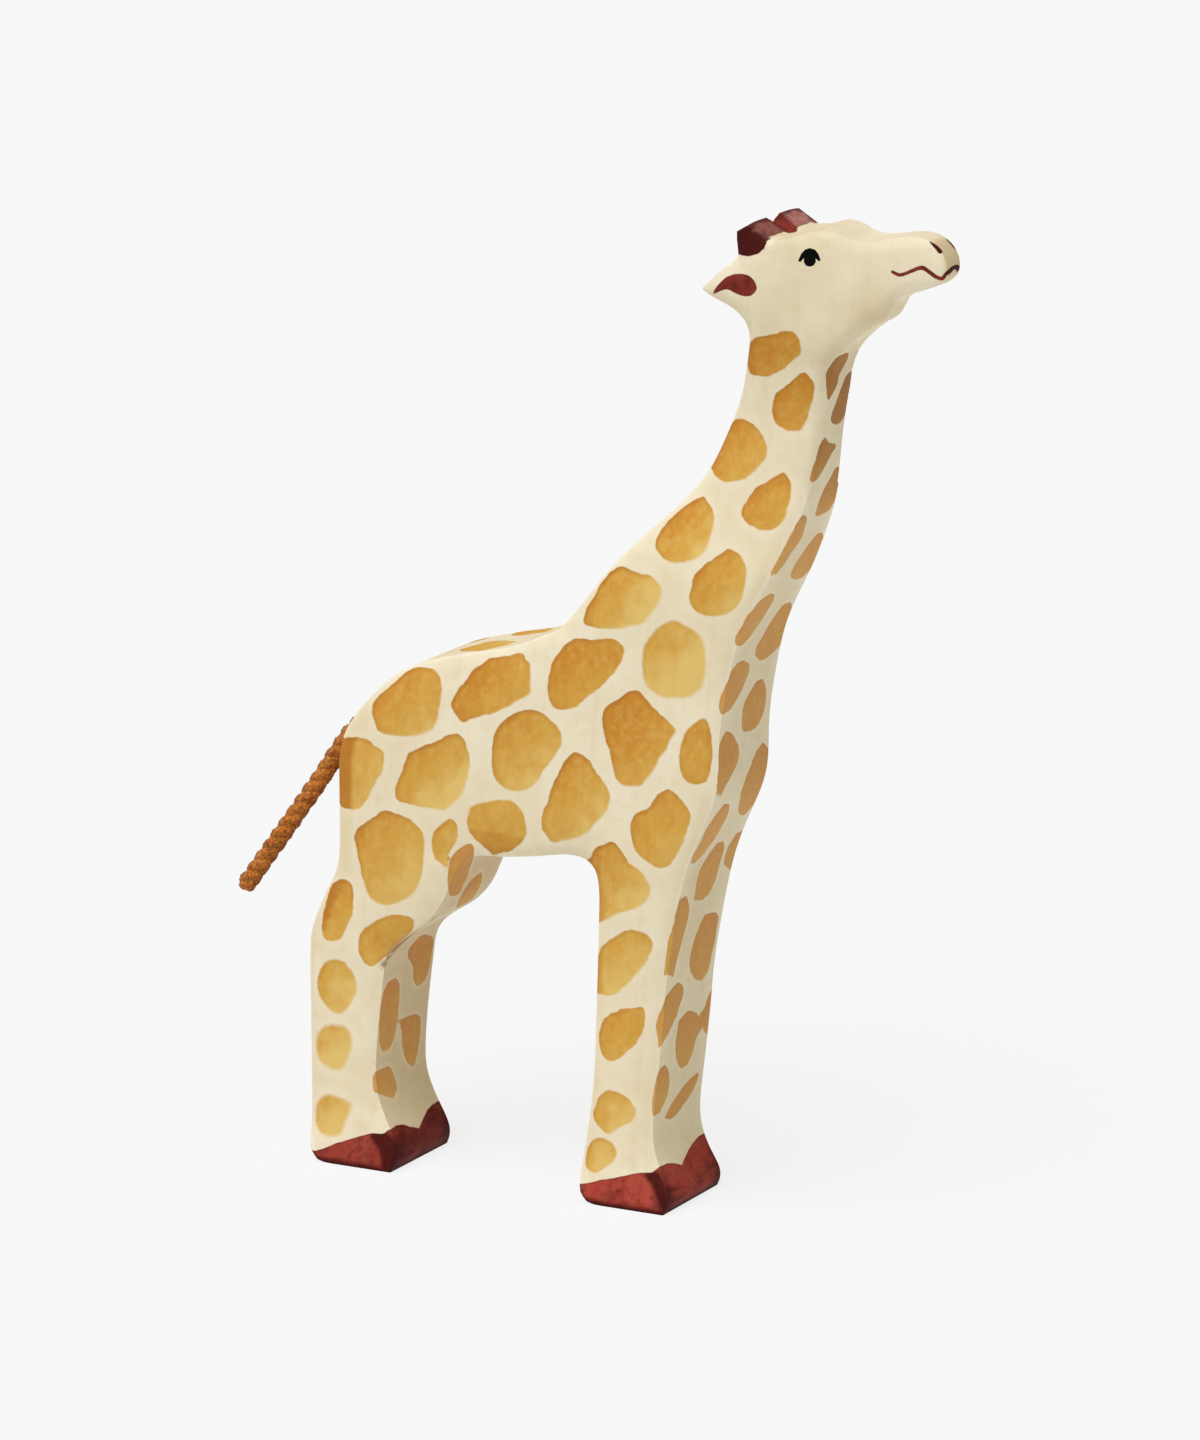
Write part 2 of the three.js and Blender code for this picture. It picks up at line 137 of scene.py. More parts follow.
class Shader:
    """The node tree of one material, built from Python expressions."""

    def __init__(self, name: str) -> None:
        """Starts a new material with an empty tree.

        Args:
            name: The material's name.
        """
        self.material = bpy.data.materials.new(name)
        self.material.use_nodes = True
        self.tree = self.material.node_tree
        self.tree.nodes.clear()

    def node(self, kind: str, settings: dict | None = None, values: dict | None = None,
             output: str | int = 0) -> Socket:
        """Adds one node.

        Args:
            kind: The node's type.
            settings: The node's own properties, set before its sockets.
            values: Numbers, colours or sockets by the name or number of the input.
            output: The name or number of the output that is returned.

        Returns:
            The chosen output.
        """
        made = self.tree.nodes.new(kind)
        for name, value in (settings or {}).items():
            setattr(made, name, value)
        for name, value in (values or {}).items():
            if isinstance(value, Socket):
                self.tree.links.new(value.source, made.inputs[name])
            elif isinstance(value, tuple) and len(value) == 3 and made.inputs[name].type == "RGBA":
                made.inputs[name].default_value = (*value, 1)
            else:
                made.inputs[name].default_value = value
        return Socket(self, made.outputs[output])

    def attribute(self, name: str) -> Socket:
        """A number that the mesh keeps at its points."""
        return self.node("ShaderNodeAttribute", {"attribute_name": name}, output="Fac")

    def place(self, stretch: tuple[float, float, float] = (1, 1, 1),
              turn: tuple[float, float, float] = (0, 0, 0)) -> Socket:
        """The place on the piece, which a pattern follows.

        Args:
            stretch: How much longer the pattern is along each axis, once it is turned.
            turn: How far the pattern is turned about each axis, in degrees.

        Returns:
            The place in metres.
        """
        here = self.node("ShaderNodeTexCoord", output="Object")
        return self.node("ShaderNodeMapping", {"vector_type": "TEXTURE"},
                         {"Vector": here, "Rotation": tuple(map(math.radians, turn)), "Scale": stretch})

    def noise(self, size: float, detail: float = 2, place: Socket | None = None) -> Socket:
        """Soft noise about 0.5.

        Args:
            size: The size of a patch, in metres.
            detail: The number of finer layers.
            place: The place to read it at, or None for the place on the piece.

        Returns:
            A value from 0 to 1.
        """
        values = {"Vector": place or self.place(), "Scale": 1 / size, "Detail": detail}
        return self.node("ShaderNodeTexNoise", {}, values)

    def blend(self, share: "Socket | float", below: "Socket | Colour", above: "Socket | Colour") -> Socket:
        """Mixes two colours.

        Args:
            share: How much of the colour above shows, from 0 to 1.
            below: The colour at a share of 0.
            above: The colour at a share of 1.

        Returns:
            The mixed colour.
        """
        return self.node("ShaderNodeMix", {"data_type": "RGBA"}, {0: share, 6: below, 7: above}, output=2)

    def layers(self, ground: "Socket | Colour", *coats: "tuple[Socket | float, Socket | Colour]") -> Socket:
        """Lays coats of colour over each other.

        Args:
            ground: The colour below them all.
            coats: How much of each coat shows, from 0 to 1, and its colour, from the lowest to the highest.

        Returns:
            The colour that shows.
        """
        for share, colour in coats:
            ground = self.blend(share, ground, colour)
        return ground

    def bump(self, height: Socket, strength: float, distance: float, below: Socket | None = None) -> Socket:
        """A surface relief.

        Args:
            height: The height of the relief, from 0 to 1.
            strength: How strongly it tells, from 0 to 1.
            distance: The height in metres that 1 stands for.
            below: A relief that this one lies on.

        Returns:
            The normal of the relief.
        """
        values = {"Height": height, "Strength": strength, "Distance": distance}
        if below is not None:
            values["Normal"] = below
        return self.node("ShaderNodeBump", {}, values)

    def finish(self, surface: Socket) -> bpy.types.Material:
        """Joins a surface to the material's output.

        Args:
            surface: The surface's shader.

        Returns:
            The finished material.
        """
        output = self.tree.nodes.new("ShaderNodeOutputMaterial")
        self.tree.links.new(surface.source, output.inputs["Surface"])
        return self.material

    def coated(self, values: dict) -> bpy.types.Material:
        """Gives the material the usual surface with these values, and returns the material."""
        return self.finish(self.node("ShaderNodeBsdfPrincipled", {}, values))


# The photograph's camera


@dataclass(frozen=True)
class PhotoCamera:
    """The camera that took the photograph, worked out from the giraffe's outline. Lengths in metres."""

    azimuth: float = 28.0
    elevation: float = 13.7
    distance: float = 1.690
    target: tuple[float, float, float] = (-0.0086, 0.0, 0.1028)
    lens: float = 200.0
    sensor: float = 36.0
    picture: tuple[int, int] = (1200, 1440)

    def axes(self) -> tuple[np.ndarray, np.ndarray, np.ndarray]:
        """The camera's own directions.

        Returns:
            Its right, its up and its way back from the target.
        """
        turn, rise = math.radians(self.azimuth), math.radians(self.elevation)
        back = np.array([math.sin(turn) * math.cos(rise), -math.cos(turn) * math.cos(rise), math.sin(rise)])
        right = np.array([math.cos(turn), math.sin(turn), 0.0])
        return right, np.cross(back, right), back

    def place(self) -> np.ndarray:
        """Where the camera stands."""
        return np.array(self.target) + self.axes()[2] * self.distance

    def focal(self) -> float:
        """The focal length in pixels of the photograph."""
        return self.lens / self.sensor * max(self.picture)

    def ray(self, pixel: Pixel) -> np.ndarray:
        """The direction in which a pixel looks.

        Args:
            pixel: The pixel, counted across and down from the picture's upper left corner.

        Returns:
            The direction, with a length of 1.
        """
        right, up, back = self.axes()
        across = (pixel[0] - self.picture[0] / 2) / self.focal()
        rise = (self.picture[1] / 2 - pixel[1]) / self.focal()
        way = -back + across * right + rise * up
        return way / np.linalg.norm(way)

    def build(self) -> bpy.types.Object:
        """Sets up the scene's camera.

        Returns:
            The camera.
        """
        data = bpy.data.cameras.new("photo_camera")
        data.lens, data.sensor_width = self.lens, self.sensor
        data.clip_start, data.clip_end = 0.1, 50
        camera = bpy.data.objects.new("photo_camera", data)
        camera.location = Vector(self.place())
        camera.rotation_mode = "QUATERNION"
        camera.rotation_quaternion = Vector(-self.axes()[2]).to_track_quat("-Z", "Y")
        bpy.context.scene.collection.objects.link(camera)
        bpy.context.scene.camera = camera
        return camera


# Paint on the wood, in pixels of the photograph


class Face(Enum):
    """The face of the board that a spot is painted on. A spot on the side is painted on both sides."""

    SIDE = "side"
    FRONT = "front"
    TOP = "top"


@dataclass(frozen=True)
class Spot:
    """One painted ochre spot, named for the place that it is on.

    tone runs from pale yellow at 0 to deep orange brown at 1, fade is how far the spot pales towards its
    lower front, and outline is its edge in pixels of the photograph. An outline that leaves the wood in the
    photograph goes on round the arris.
    """

    tone: float
    fade: float
    outline: tuple[Pixel, ...]


SIDE_SPOTS = {
    "nape": Spot(0.9, 0.1, (
        (744, 366), (747, 350), (752, 341), (759, 336), (769, 335), (780, 332), (791, 330), (797, 335),
        (801, 343), (801, 353), (797, 358), (789, 363), (783, 369), (774, 374.5), (764, 376.5),
        (754, 375.5))),
    "side of the throat": Spot(0.85, 0.2, (
        (803, 371.5), (810, 376), (815, 386), (814, 396), (811, 408), (808, 419), (804, 427), (800, 431.5),
        (792, 432), (784, 429), (777, 424), (772, 416), (771, 406), (775, 396), (784, 387), (793, 379.5))),
    "upper mane": Spot(0.75, 0.3, (
        (734, 419), (741, 417.5), (748, 420.5), (758, 428.5), (764, 437), (767, 448), (765.5, 458),
        (758, 468), (748, 477), (739, 481), (725, 482), (717, 479), (712, 470), (706, 462), (716, 445),
        (726, 430))),
    "middle of the neck": Spot(0.8, 0.2, (
        (783, 472), (788, 475), (791.5, 483), (791, 494), (788, 507), (785, 518), (780, 525), (773, 530.5),
        (765, 531), (755, 528), (746, 522), (741, 515), (744, 505), (749, 497), (755, 488), (764, 483),
        (773, 479))),
    "lower mane": Spot(0.65, 0.6, (
        (703, 496.5), (708, 502), (713, 511), (713.5, 522), (712, 535), (708, 547), (701, 555), (692, 561),
        (680, 563.5), (668, 562), (662, 557), (656, 549), (656, 540), (661, 530), (669, 520), (680, 510),
        (692, 501))),
    "foot of the neck": Spot(0.6, 0.3, (
        (728, 547.5), (735, 551), (743, 559), (746, 569), (746, 582), (743, 595), (738, 606), (730, 613),
        (718, 616.5), (707, 616.5), (697, 612), (690, 603), (691, 590), (693, 577), (700, 568), (711, 561),
        (720, 553))),
    "withers": Spot(0.45, 0.8, (
        (620, 566), (630, 570), (641, 573), (652, 576), (660, 585), (661.5, 594), (658, 605), (650, 616),
        (642, 624.5), (630, 627.5), (612, 629.5), (595, 627.5), (583, 623), (586, 610.5), (592, 599),
        (600, 585), (609, 573))),
    "shoulder": Spot(0.25, 0.2, (
        (676, 620.5), (686, 625), (696, 631), (703, 641), (706, 653), (706, 668), (704, 682), (697, 692),
        (688, 697.5), (672, 699), (660, 697), (649, 689), (643, 676), (642, 660), (644, 645), (651, 634),
        (663, 624))),
    "shoulder blade": Spot(0.8, 0.4, (
        (628, 690.5), (637, 690.5), (645, 697), (653, 707), (664, 717), (674, 728), (675, 733), (669, 744),
        (661, 757), (654, 769), (647, 779), (642, 786), (632, 787.5), (621, 785), (615, 776), (611, 761),
        (607, 744), (603, 726), (602, 714), (606, 706), (618, 700))),
    "side of the breast": Spot(0.65, -0.3, (
        (703, 718.5), (708, 722), (711, 731), (712, 744), (712, 758), (710, 771), (706, 781), (700, 784.5),
        (692, 784.5), (685, 780), (680, 771), (679, 757), (681, 744), (686, 731), (693, 724))),
    "middle of the back": Spot(0.8, 0.2, (
        (578, 639), (595, 640), (612, 638.5), (620, 643), (624.5, 650), (622, 662), (615, 672), (605, 682),
        (594, 692), (583, 702), (573, 708), (562, 710.5), (553, 707), (549, 699), (547, 688), (549, 673),
        (554, 659), (562, 647), (570, 641))),
    "loin": Spot(0.75, 0.4, (
        (523, 653), (526, 659), (531, 664), (531, 675), (531, 687), (529, 695), (520, 700), (510, 706),
        (498, 711), (485, 716), (472, 720), (463, 722), (455, 714), (451, 704), (455, 694), (463, 684),
        (470, 673), (480, 665), (490, 659), (505, 655.5))),
    "croup": Spot(0.65, 0.5, (
        (420, 667.5), (432, 668.5), (439, 675), (442, 684), (442, 697), (440, 712), (437, 723), (430, 731),
        (419, 735), (404, 737), (389, 735), (378, 731), (374, 722), (372, 712), (374, 702), (381, 694),
        (391, 685), (401, 676), (410, 670))),
    "flank": Spot(0.5, 0.3, (
        (525, 709.5), (537, 711), (549, 718), (558, 727), (562, 737), (561, 747), (554, 757), (547, 767),
        (540, 778), (531, 787), (519, 792), (509, 790), (499, 784), (493, 776), (491, 764), (492, 750),
        (494, 737), (499, 726), (508, 717))),
    "haunch": Spot(0.4, 0.6, (
        (452, 733), (461, 736), (467, 746), (470, 757), (469, 770), (467, 782), (461, 795), (452, 805),
        (444, 811), (436, 810), (420, 807), (405, 804), (397, 800), (395, 791), (399, 778), (405, 763),
        (409, 752), (420, 747), (436, 741))),
    "rump": Spot(0.5, 0.3, (
        (333, 740), (345, 738), (360, 738), (371, 740), (374, 745), (383, 751), (384, 760), (382, 772),
        (375, 784), (370, 795), (363, 806), (356, 810), (348, 809), (338, 805), (333, 790))),
    "thigh": Spot(0.55, 0.3, (
        (387, 810), (397, 813.5), (406, 817.5), (415, 823.5), (422, 831), (424.5, 842), (424, 857),
        (423, 872), (419, 885), (411, 896), (400, 902), (388, 905.5), (378, 903.5), (369, 897), (365, 886),
        (361, 873), (358, 858), (355, 845), (354, 836), (358, 828), (366, 822.5), (374, 817.5), (380, 812))),
    "stifle": Spot(0.45, 0.1, (
        (450, 818.5), (456, 823), (458, 830), (457, 839), (454, 847), (449, 856), (447, 867), (441, 864.5),
        (434.5, 858.5), (432, 848), (432, 837), (436, 828.5), (443, 822))),
    "rear of the belly": Spot(0.5, -0.3, (
        (466, 819), (469, 808), (478, 804), (490, 800.5), (502, 799.5), (512, 801.5), (521, 809), (526, 821),
        (526, 834), (519, 844), (509, 851), (500, 853), (493, 856), (489, 852), (483, 846), (475, 839),
        (469, 831))),
    "ribs": Spot(0.5, 0.4, (
        (576, 752), (584, 756), (591, 762), (594, 769.5), (600.5, 777.5), (606.5, 785.5), (610.5, 796),
        (609, 806), (603, 816), (594, 826), (584, 835), (572, 839.5), (561, 841.5), (552, 843), (547, 837),
        (542, 830), (541, 821), (544, 810), (548.5, 799), (552.5, 785), (557.5, 772.5), (564, 761.5),
        (570.5, 754.5))),
    "side of the chest": Spot(0.6, 0.1, (
        (667, 790), (673, 791.5), (680, 798), (687, 806.5), (691, 815), (689.5, 824), (685, 836), (680, 849),
        (674.5, 860), (668.5, 867), (661, 868.5), (651.5, 865.5), (643, 860), (636, 852), (631.5, 841),
        (630, 830), (631, 820.5), (636, 813), (644, 810), (650, 806.5), (653, 799.5), (659, 793))),
    "elbow": Spot(0.5, 0.4, (
        (611, 842.5), (616, 844), (621, 851), (627, 859), (634, 866.5), (642, 873), (648, 881), (651, 890),
        (648, 899), (641, 906), (631, 911), (619, 914), (610, 918), (603, 922), (595, 922), (590, 900),
        (588, 880), (585, 862), (591, 857), (595, 848.5), (602, 845))),
    "hock": Spot(0.5, -0.1, (
        (393, 914), (405, 915.5), (412.5, 919), (413, 928), (409, 936), (401, 943), (393, 950), (387, 956),
        (380, 961), (373, 966.5), (365, 964), (359.5, 955), (358, 945), (360, 934), (367, 926.5),
        (378, 919.5))),
    "rear of the hock": Spot(0.75, 0.2, (
        (341, 879.5), (348, 880.5), (353.5, 888), (354, 901), (351, 917), (346, 930), (340, 940), (329, 941),
        (323, 936), (322, 923), (324, 908), (328, 894), (334, 883))),
    "upper hind leg": Spot(0.3, 0.1, (
        (331, 959.5), (342, 960.5), (350, 968), (356, 979), (357, 990), (352, 1003), (346, 1012), (339, 1015),
        (330, 1010.5), (322, 1002), (317.5, 990), (317.5, 977), (322, 965))),
    "middle of the hind leg": Spot(0.2, 0.1, (
        (328, 1024), (338, 1024), (347, 1028), (352, 1037), (352.5, 1047), (348.5, 1058), (344, 1068),
        (339, 1071.5), (330, 1068.5), (320.5, 1062), (316, 1051), (316.5, 1037), (321.5, 1028))),
    "lower hind leg": Spot(0.2, 0.1, (
        (323, 1095), (333, 1094), (343, 1098), (351.5, 1104), (351, 1112), (346.5, 1123), (341.5, 1134),
        (333, 1137.5), (322, 1135), (316, 1126), (315.5, 1111), (318, 1100))),
    "top of the foreleg": Spot(0.35, 0.2, (
        (630, 929.5), (641, 931), (649, 935.5), (653.5, 944), (651, 954), (646, 963), (639, 972),
        (631, 981.5), (621, 991), (610, 996), (600, 995), (592, 992), (592, 968), (597, 957), (601, 949),
        (607, 941.5), (617, 934.5))),
    "middle of the foreleg": Spot(0.6, 0.1, (
        (620, 1009.5), (632, 1008), (641.5, 1006.5), (645, 1010), (644.5, 1023), (641.5, 1036), (632, 1048),
        (621, 1057.5), (612.5, 1061.5), (605, 1058), (600, 1048), (599, 1035), (602.5, 1022), (610, 1013.5))),
    "lower foreleg": Spot(0.35, 0.1, (
        (607.5, 1090), (617, 1091.5), (627, 1097), (634, 1105), (636, 1113), (632, 1121.5), (622, 1126),
        (610, 1134), (602, 1131.5), (594.5, 1121.5), (594, 1110), (598.5, 1098.5))),
    "foot of the foreleg": Spot(0.35, 0.1, (
        (600, 1137.5), (610, 1141.5), (616.5, 1148.5), (616.5, 1158), (609, 1165), (597, 1173), (588, 1170),
        (585, 1160), (588, 1147), (593, 1140))),
}
FRONT_SPOTS = {
    "near side of the gullet": Spot(0.6, 0.1, (
        (849, 352), (848, 359), (844, 367), (840, 375), (838, 384), (834, 393), (828, 401.5), (825.5, 394),
        (825, 382), (825, 373), (829, 366), (834, 359), (841, 354))),
    "far side of the gullet": Spot(0.8, 0.1, (
        (849.5, 371), (856, 372), (854, 390), (851, 408), (843, 420), (838, 425), (832.5, 425), (830, 420),
        (832.5, 410), (836.5, 400), (840, 390), (844, 379))),
    "front of the neck, first": Spot(0.7, 0.1, (
        (824.5, 436), (829, 441), (835.5, 442.5), (836, 448), (832, 454), (828, 462), (823, 471), (818, 479),
        (812, 484), (808, 479), (811, 469), (815, 457), (818, 446))),
    "front of the neck, second": Spot(0.75, 0.1, (
        (836, 466.5), (841, 468), (840, 482), (836, 498), (830, 510), (823, 514.5), (814.5, 518), (816, 510),
        (818.5, 501), (823, 490), (828.5, 480), (832, 473))),
    "front of the neck, third": Spot(0.65, 0.1, (
        (806, 513.5), (807.5, 519), (805.5, 527), (803.5, 535), (798.5, 544), (792, 553), (786, 562.5),
        (779.5, 571), (771.5, 579), (770, 572.5), (774.5, 563), (780, 552.5), (784.5, 542.5), (790, 531.5),
        (795.5, 523), (801, 516))),
    "front of the neck, fourth": Spot(0.65, 0.1, (
        (819, 531), (824, 533), (822, 548), (816, 561), (808, 573), (800, 580), (791.5, 580), (790, 574.5),
        (794.5, 564.5), (800, 556), (806, 547), (813, 538))),
    "breast, first": Spot(0.65, 0.1, (
        (773.5, 591.5), (775, 598), (769.5, 608), (764, 617.5), (757, 627.5), (750.5, 637), (745, 645),
        (737.5, 647), (733.5, 642.5), (735, 634), (740, 624.5), (747, 614.5), (755, 606), (763, 597.5))),
    "breast, second": Spot(0.75, 0.1, (
        (786, 602.5), (793, 603), (790, 620), (785, 636), (778, 650), (771, 655), (766, 660), (759, 662),
        (755, 656), (756, 646), (761, 638.5), (767, 627.5), (773, 618), (780, 607.5))),
    "breast, third": Spot(0.65, 0.1, (
        (743, 659.5), (749, 663), (749.5, 671), (746.5, 680), (742.5, 690), (738, 699), (733, 708),
        (727, 713.5), (721, 715.5), (717.5, 707), (719, 698), (722, 689), (726, 680.5), (730, 671.5),
        (736.5, 663))),
    "breast, fourth": Spot(0.75, 0.1, (
        (760.5, 677), (765, 680), (766.5, 690), (766, 703), (763.5, 714.5), (760, 723), (754, 730),
        (746, 734.5), (742, 730), (741.5, 720), (742.5, 708), (746, 698), (752.5, 687), (756, 681))),
    "breast, fifth": Spot(0.7, 0.1, (
        (728.5, 728.5), (733, 733), (738, 743), (739.5, 752), (738, 763), (733, 773), (730, 780),
        (725, 788.5), (722, 795), (718, 803), (714.5, 798), (714.5, 789), (716, 779), (717.5, 768),
        (717.5, 754), (720, 741), (724, 733))),
    "breast, sixth": Spot(0.8, 0.1, (
        (760.5, 741), (766, 744.5), (772, 752), (774, 765), (770, 780), (763, 795), (756, 806), (749, 814),
        (740.5, 816.5), (737.5, 811), (739, 803), (740.5, 793), (744, 782), (748, 771), (752, 761),
        (756, 751))),
    "breast, seventh": Spot(0.6, 0.2, (
        (729, 801), (730, 807), (727.5, 816), (723, 825), (718, 834), (713, 842), (706, 851), (699, 860),
        (688, 870), (690, 861), (696, 849), (701, 840), (705, 830.5), (710, 822.5), (716, 813.5),
        (723, 804.5))),
    "breast, eighth": Spot(0.7, 0.1, (
        (720, 839.5), (725, 842.5), (724.5, 850), (721, 861), (718, 872), (715, 882), (711, 891.5),
        (705, 899), (697, 903), (694.5, 897), (695, 887), (697.5, 877), (700, 868), (705, 860),
        (711, 850.5))),
    "breast, ninth": Spot(0.65, 0.1, (
        (739, 830), (746, 831), (743, 845), (738, 860), (731, 871), (726, 868), (724.5, 861), (726.5, 852),
        (730, 843.5), (735, 835))),
    "forelegs, first": Spot(0.7, 0.1, (
        (683, 889.5), (687, 896), (689.5, 905), (689, 916), (686, 928), (683, 940), (680, 952), (677, 962),
        (673.5, 978), (667, 976), (662, 977), (663.5, 968), (665.5, 953), (668, 940), (671.5, 925),
        (675, 909), (678, 898))),
    "forelegs, second": Spot(0.75, 0.1, (
        (708, 912), (719, 912), (717.5, 927), (715, 942), (711.5, 958), (708, 972), (703, 980), (697, 982.5),
        (691, 975), (689, 964), (691, 950), (695, 936), (700, 924), (704, 916))),
    "forelegs, third": Spot(0.65, 0.1, (
        (679, 980.5), (684, 988), (682.5, 999), (678, 1012), (673.5, 1024), (668, 1036), (662, 1045),
        (657, 1050.5), (656.5, 1038), (654.5, 1024), (660, 1010), (665, 998), (671.5, 988))),
    "forelegs, fourth": Spot(0.65, 0.1, (
        (687, 1010), (697, 1011), (698.5, 1020), (697.5, 1032), (695, 1045), (691.5, 1057), (687, 1066.5),
        (682, 1070.5), (677, 1064.5), (675, 1052), (676, 1036), (678.5, 1024), (682, 1015))),
    "forelegs, fifth": Spot(0.7, 0.1, (
        (710, 990), (716, 990), (713, 1010), (709, 1030), (705, 1041), (702.5, 1036), (702, 1026),
        (703, 1013), (706, 1000))),
    "forelegs, sixth": Spot(0.6, 0.1, (
        (664, 1063), (668.5, 1068), (670, 1080), (668.5, 1092), (665, 1103), (660, 1113), (652, 1118.5),
        (650.5, 1108), (652, 1093), (654.5, 1078), (658.5, 1068))),
    "forelegs, seventh": Spot(0.65, 0.1, (
        (698, 1071), (699, 1077), (695, 1087), (690, 1096.5), (684, 1105), (677, 1115.5), (670, 1121),
        (664, 1119), (668, 1110), (673, 1100.5), (680, 1090), (688, 1080), (694, 1074))),
    "front of the thigh, first": Spot(0.75, 0.1, (
        (470, 842), (474.5, 847), (475, 855), (472, 866), (468, 878), (461, 889), (456, 896), (449, 897),
        (446.5, 889), (447, 877), (448, 866), (450, 857), (455, 850), (462, 845))),
    "front of the thigh, second": Spot(0.65, 0.2, (
        (481, 869.5), (483, 875), (481, 884), (477, 893), (470, 901.5), (462, 908), (453, 913), (457, 903),
        (462, 893), (468, 883), (475, 875.5))),
    "hind legs, first": Spot(0.8, 0.1, (
        (422, 934), (433.5, 936), (432.5, 950), (430.5, 965), (427, 977), (421, 986.5), (414.5, 986),
        (412.5, 977), (412.5, 966), (408.5, 961), (407.5, 952), (412, 944))),
    "hind legs, second": Spot(0.7, 0.1, (
        (397.5, 976.5), (400, 986), (399.5, 1001), (398, 1017), (396, 1032), (393, 1043), (389.5, 1050),
        (384.5, 1054), (379.5, 1047), (378.5, 1033), (379, 1016), (381.5, 999), (385, 986), (391, 979))),
    "hind legs, third": Spot(0.75, 0.1, (
        (408, 1014.5), (420, 1013.5), (421, 1025), (420, 1040), (417.5, 1055), (415, 1065), (411, 1069),
        (405.5, 1061.5), (402, 1047), (401.5, 1031), (402.5, 1018.5))),
    "hind legs, fourth": Spot(0.6, 0.1, (
        (373, 1072), (382, 1068), (390, 1064.5), (393, 1071), (396, 1080), (398, 1089), (396, 1099),
        (389, 1098), (380, 1095), (373, 1093), (371, 1083))),
}
TOP_SPOTS = {
    "top of the loin": Spot(0.5, 0.1, (
        (457, 651), (465, 648), (474, 645.5), (484, 642.5), (496, 640.5), (508, 640.5), (520, 641.5),
        (511, 644), (499, 647), (486, 650), (472, 651.5))),
    "far top of the loin": Spot(0.6, 0.1, (
        (468, 643.5), (476, 638), (486, 634), (494, 635), (489, 638), (480, 640.5))),
    "top of the back": Spot(0.6, 0.1, (
        (509, 635.5), (520, 631.5), (535, 628), (553, 627.5), (548, 631.5), (536, 633.5), (521, 635.5))),
}
SPOTS = {Face.SIDE: SIDE_SPOTS, Face.FRONT: FRONT_SPOTS, Face.TOP: TOP_SPOTS}

EYE = (
    (798, 261), (801, 254), (805, 249.5), (809.8, 248), (815, 249.5), (818.5, 254), (820.7, 260),
    (819, 261.5), (815.5, 258.5), (816, 262), (813.5, 265.7), (809.8, 266.8), (806, 265.8), (803.7, 262),
    (804, 258), (800.5, 262))
EAR = (
    (713, 292), (723, 279.5), (733, 274.5), (743, 274), (751, 277), (756.4, 285), (756, 291), (750, 296),
    (740, 295.3), (732, 291.3), (727, 289.5), (720.5, 291), (714.5, 294.2))
HORN_FOOT = ((739, 254.5), (748, 256.4), (758, 254), (765, 248), (767.6, 241), (768.5, 237))
MOUTH = (
    (892.5, 271.8), (900.4, 275), (911, 271.3), (922, 267.8), (930.3, 272.8), (936.5, 277), (942.5, 278.3),
    (947.5, 272.4), (954, 267.4), (958.2, 270))
CREASE = ((434, 918), (424, 925.5), (412, 934.5), (400, 944.5), (390, 954.5), (384, 964.5))
BELLY_CUT = ((462, 826.5), (478, 830), (495, 832.5), (528, 837.5))
NOSTRIL = ((930.4, 241.8), (935, 245.4), (940.3, 250.6))
FAR_NOSTRIL = ((947.3, 240), (951, 243.6), (954.6, 248.2))

# The thin lines, and how far from each the skin's finer faces reach, in millimetres
THIN_LINES = ((EYE, 1.2), (MOUTH, 1.1), (NOSTRIL, 1.4), (FAR_NOSTRIL, 1.4), (CREASE, 1.2))


@dataclass(frozen=True)
class Hoof:
    """One pair of hooves.

    middle is the middle of the pair's block of wood in millimetres, side and front are the paint's upper edge
    on the visible side and on the front, and the last outline is a band where the red is made darker.
    """

    middle: float
    side: tuple[Pixel, ...]
    front: tuple[Pixel, ...]
    pool: tuple[Pixel, ...]


HOOVES = {
    "hind": Hoof(
        -60.0,
        ((314.7, 1150.8), (336, 1143), (355.5, 1137.3), (372, 1133), (383.5, 1134)),
        ((388.5, 1129.5), (398, 1124.5), (408, 1125), (418, 1130.5), (422, 1120.5), (428, 1108.5),
         (436.5, 1101)),
        ((370, 1134.5), (387, 1133), (397, 1143), (398, 1158), (393, 1170.5), (381, 1170), (381, 1157),
         (377, 1144.5))),
    "front": Hoof(
        4.0,
        ((580.5, 1184), (600, 1180), (620, 1176.7), (638, 1172.7), (652, 1172.3)),
        ((660, 1165.8), (670, 1162.7), (678, 1163.8), (682, 1165), (685.5, 1155), (692, 1144), (702, 1133)),
        ((646, 1174), (658, 1172), (664, 1183), (667, 1195), (667.5, 1211), (660, 1210), (657, 1200),
         (652, 1185))),
}


# Finishes


def paint(red: float, green: float, blue: float) -> Colour:
    """A colour as a paint chart gives it, from 0 to 255, turned into a linear one."""
    shares = (value / 255 for value in (red, green, blue))
    return tuple(s / 12.92 if s <= 0.04045 else ((s + 0.055) / 1.055) ** 2.4 for s in shares)


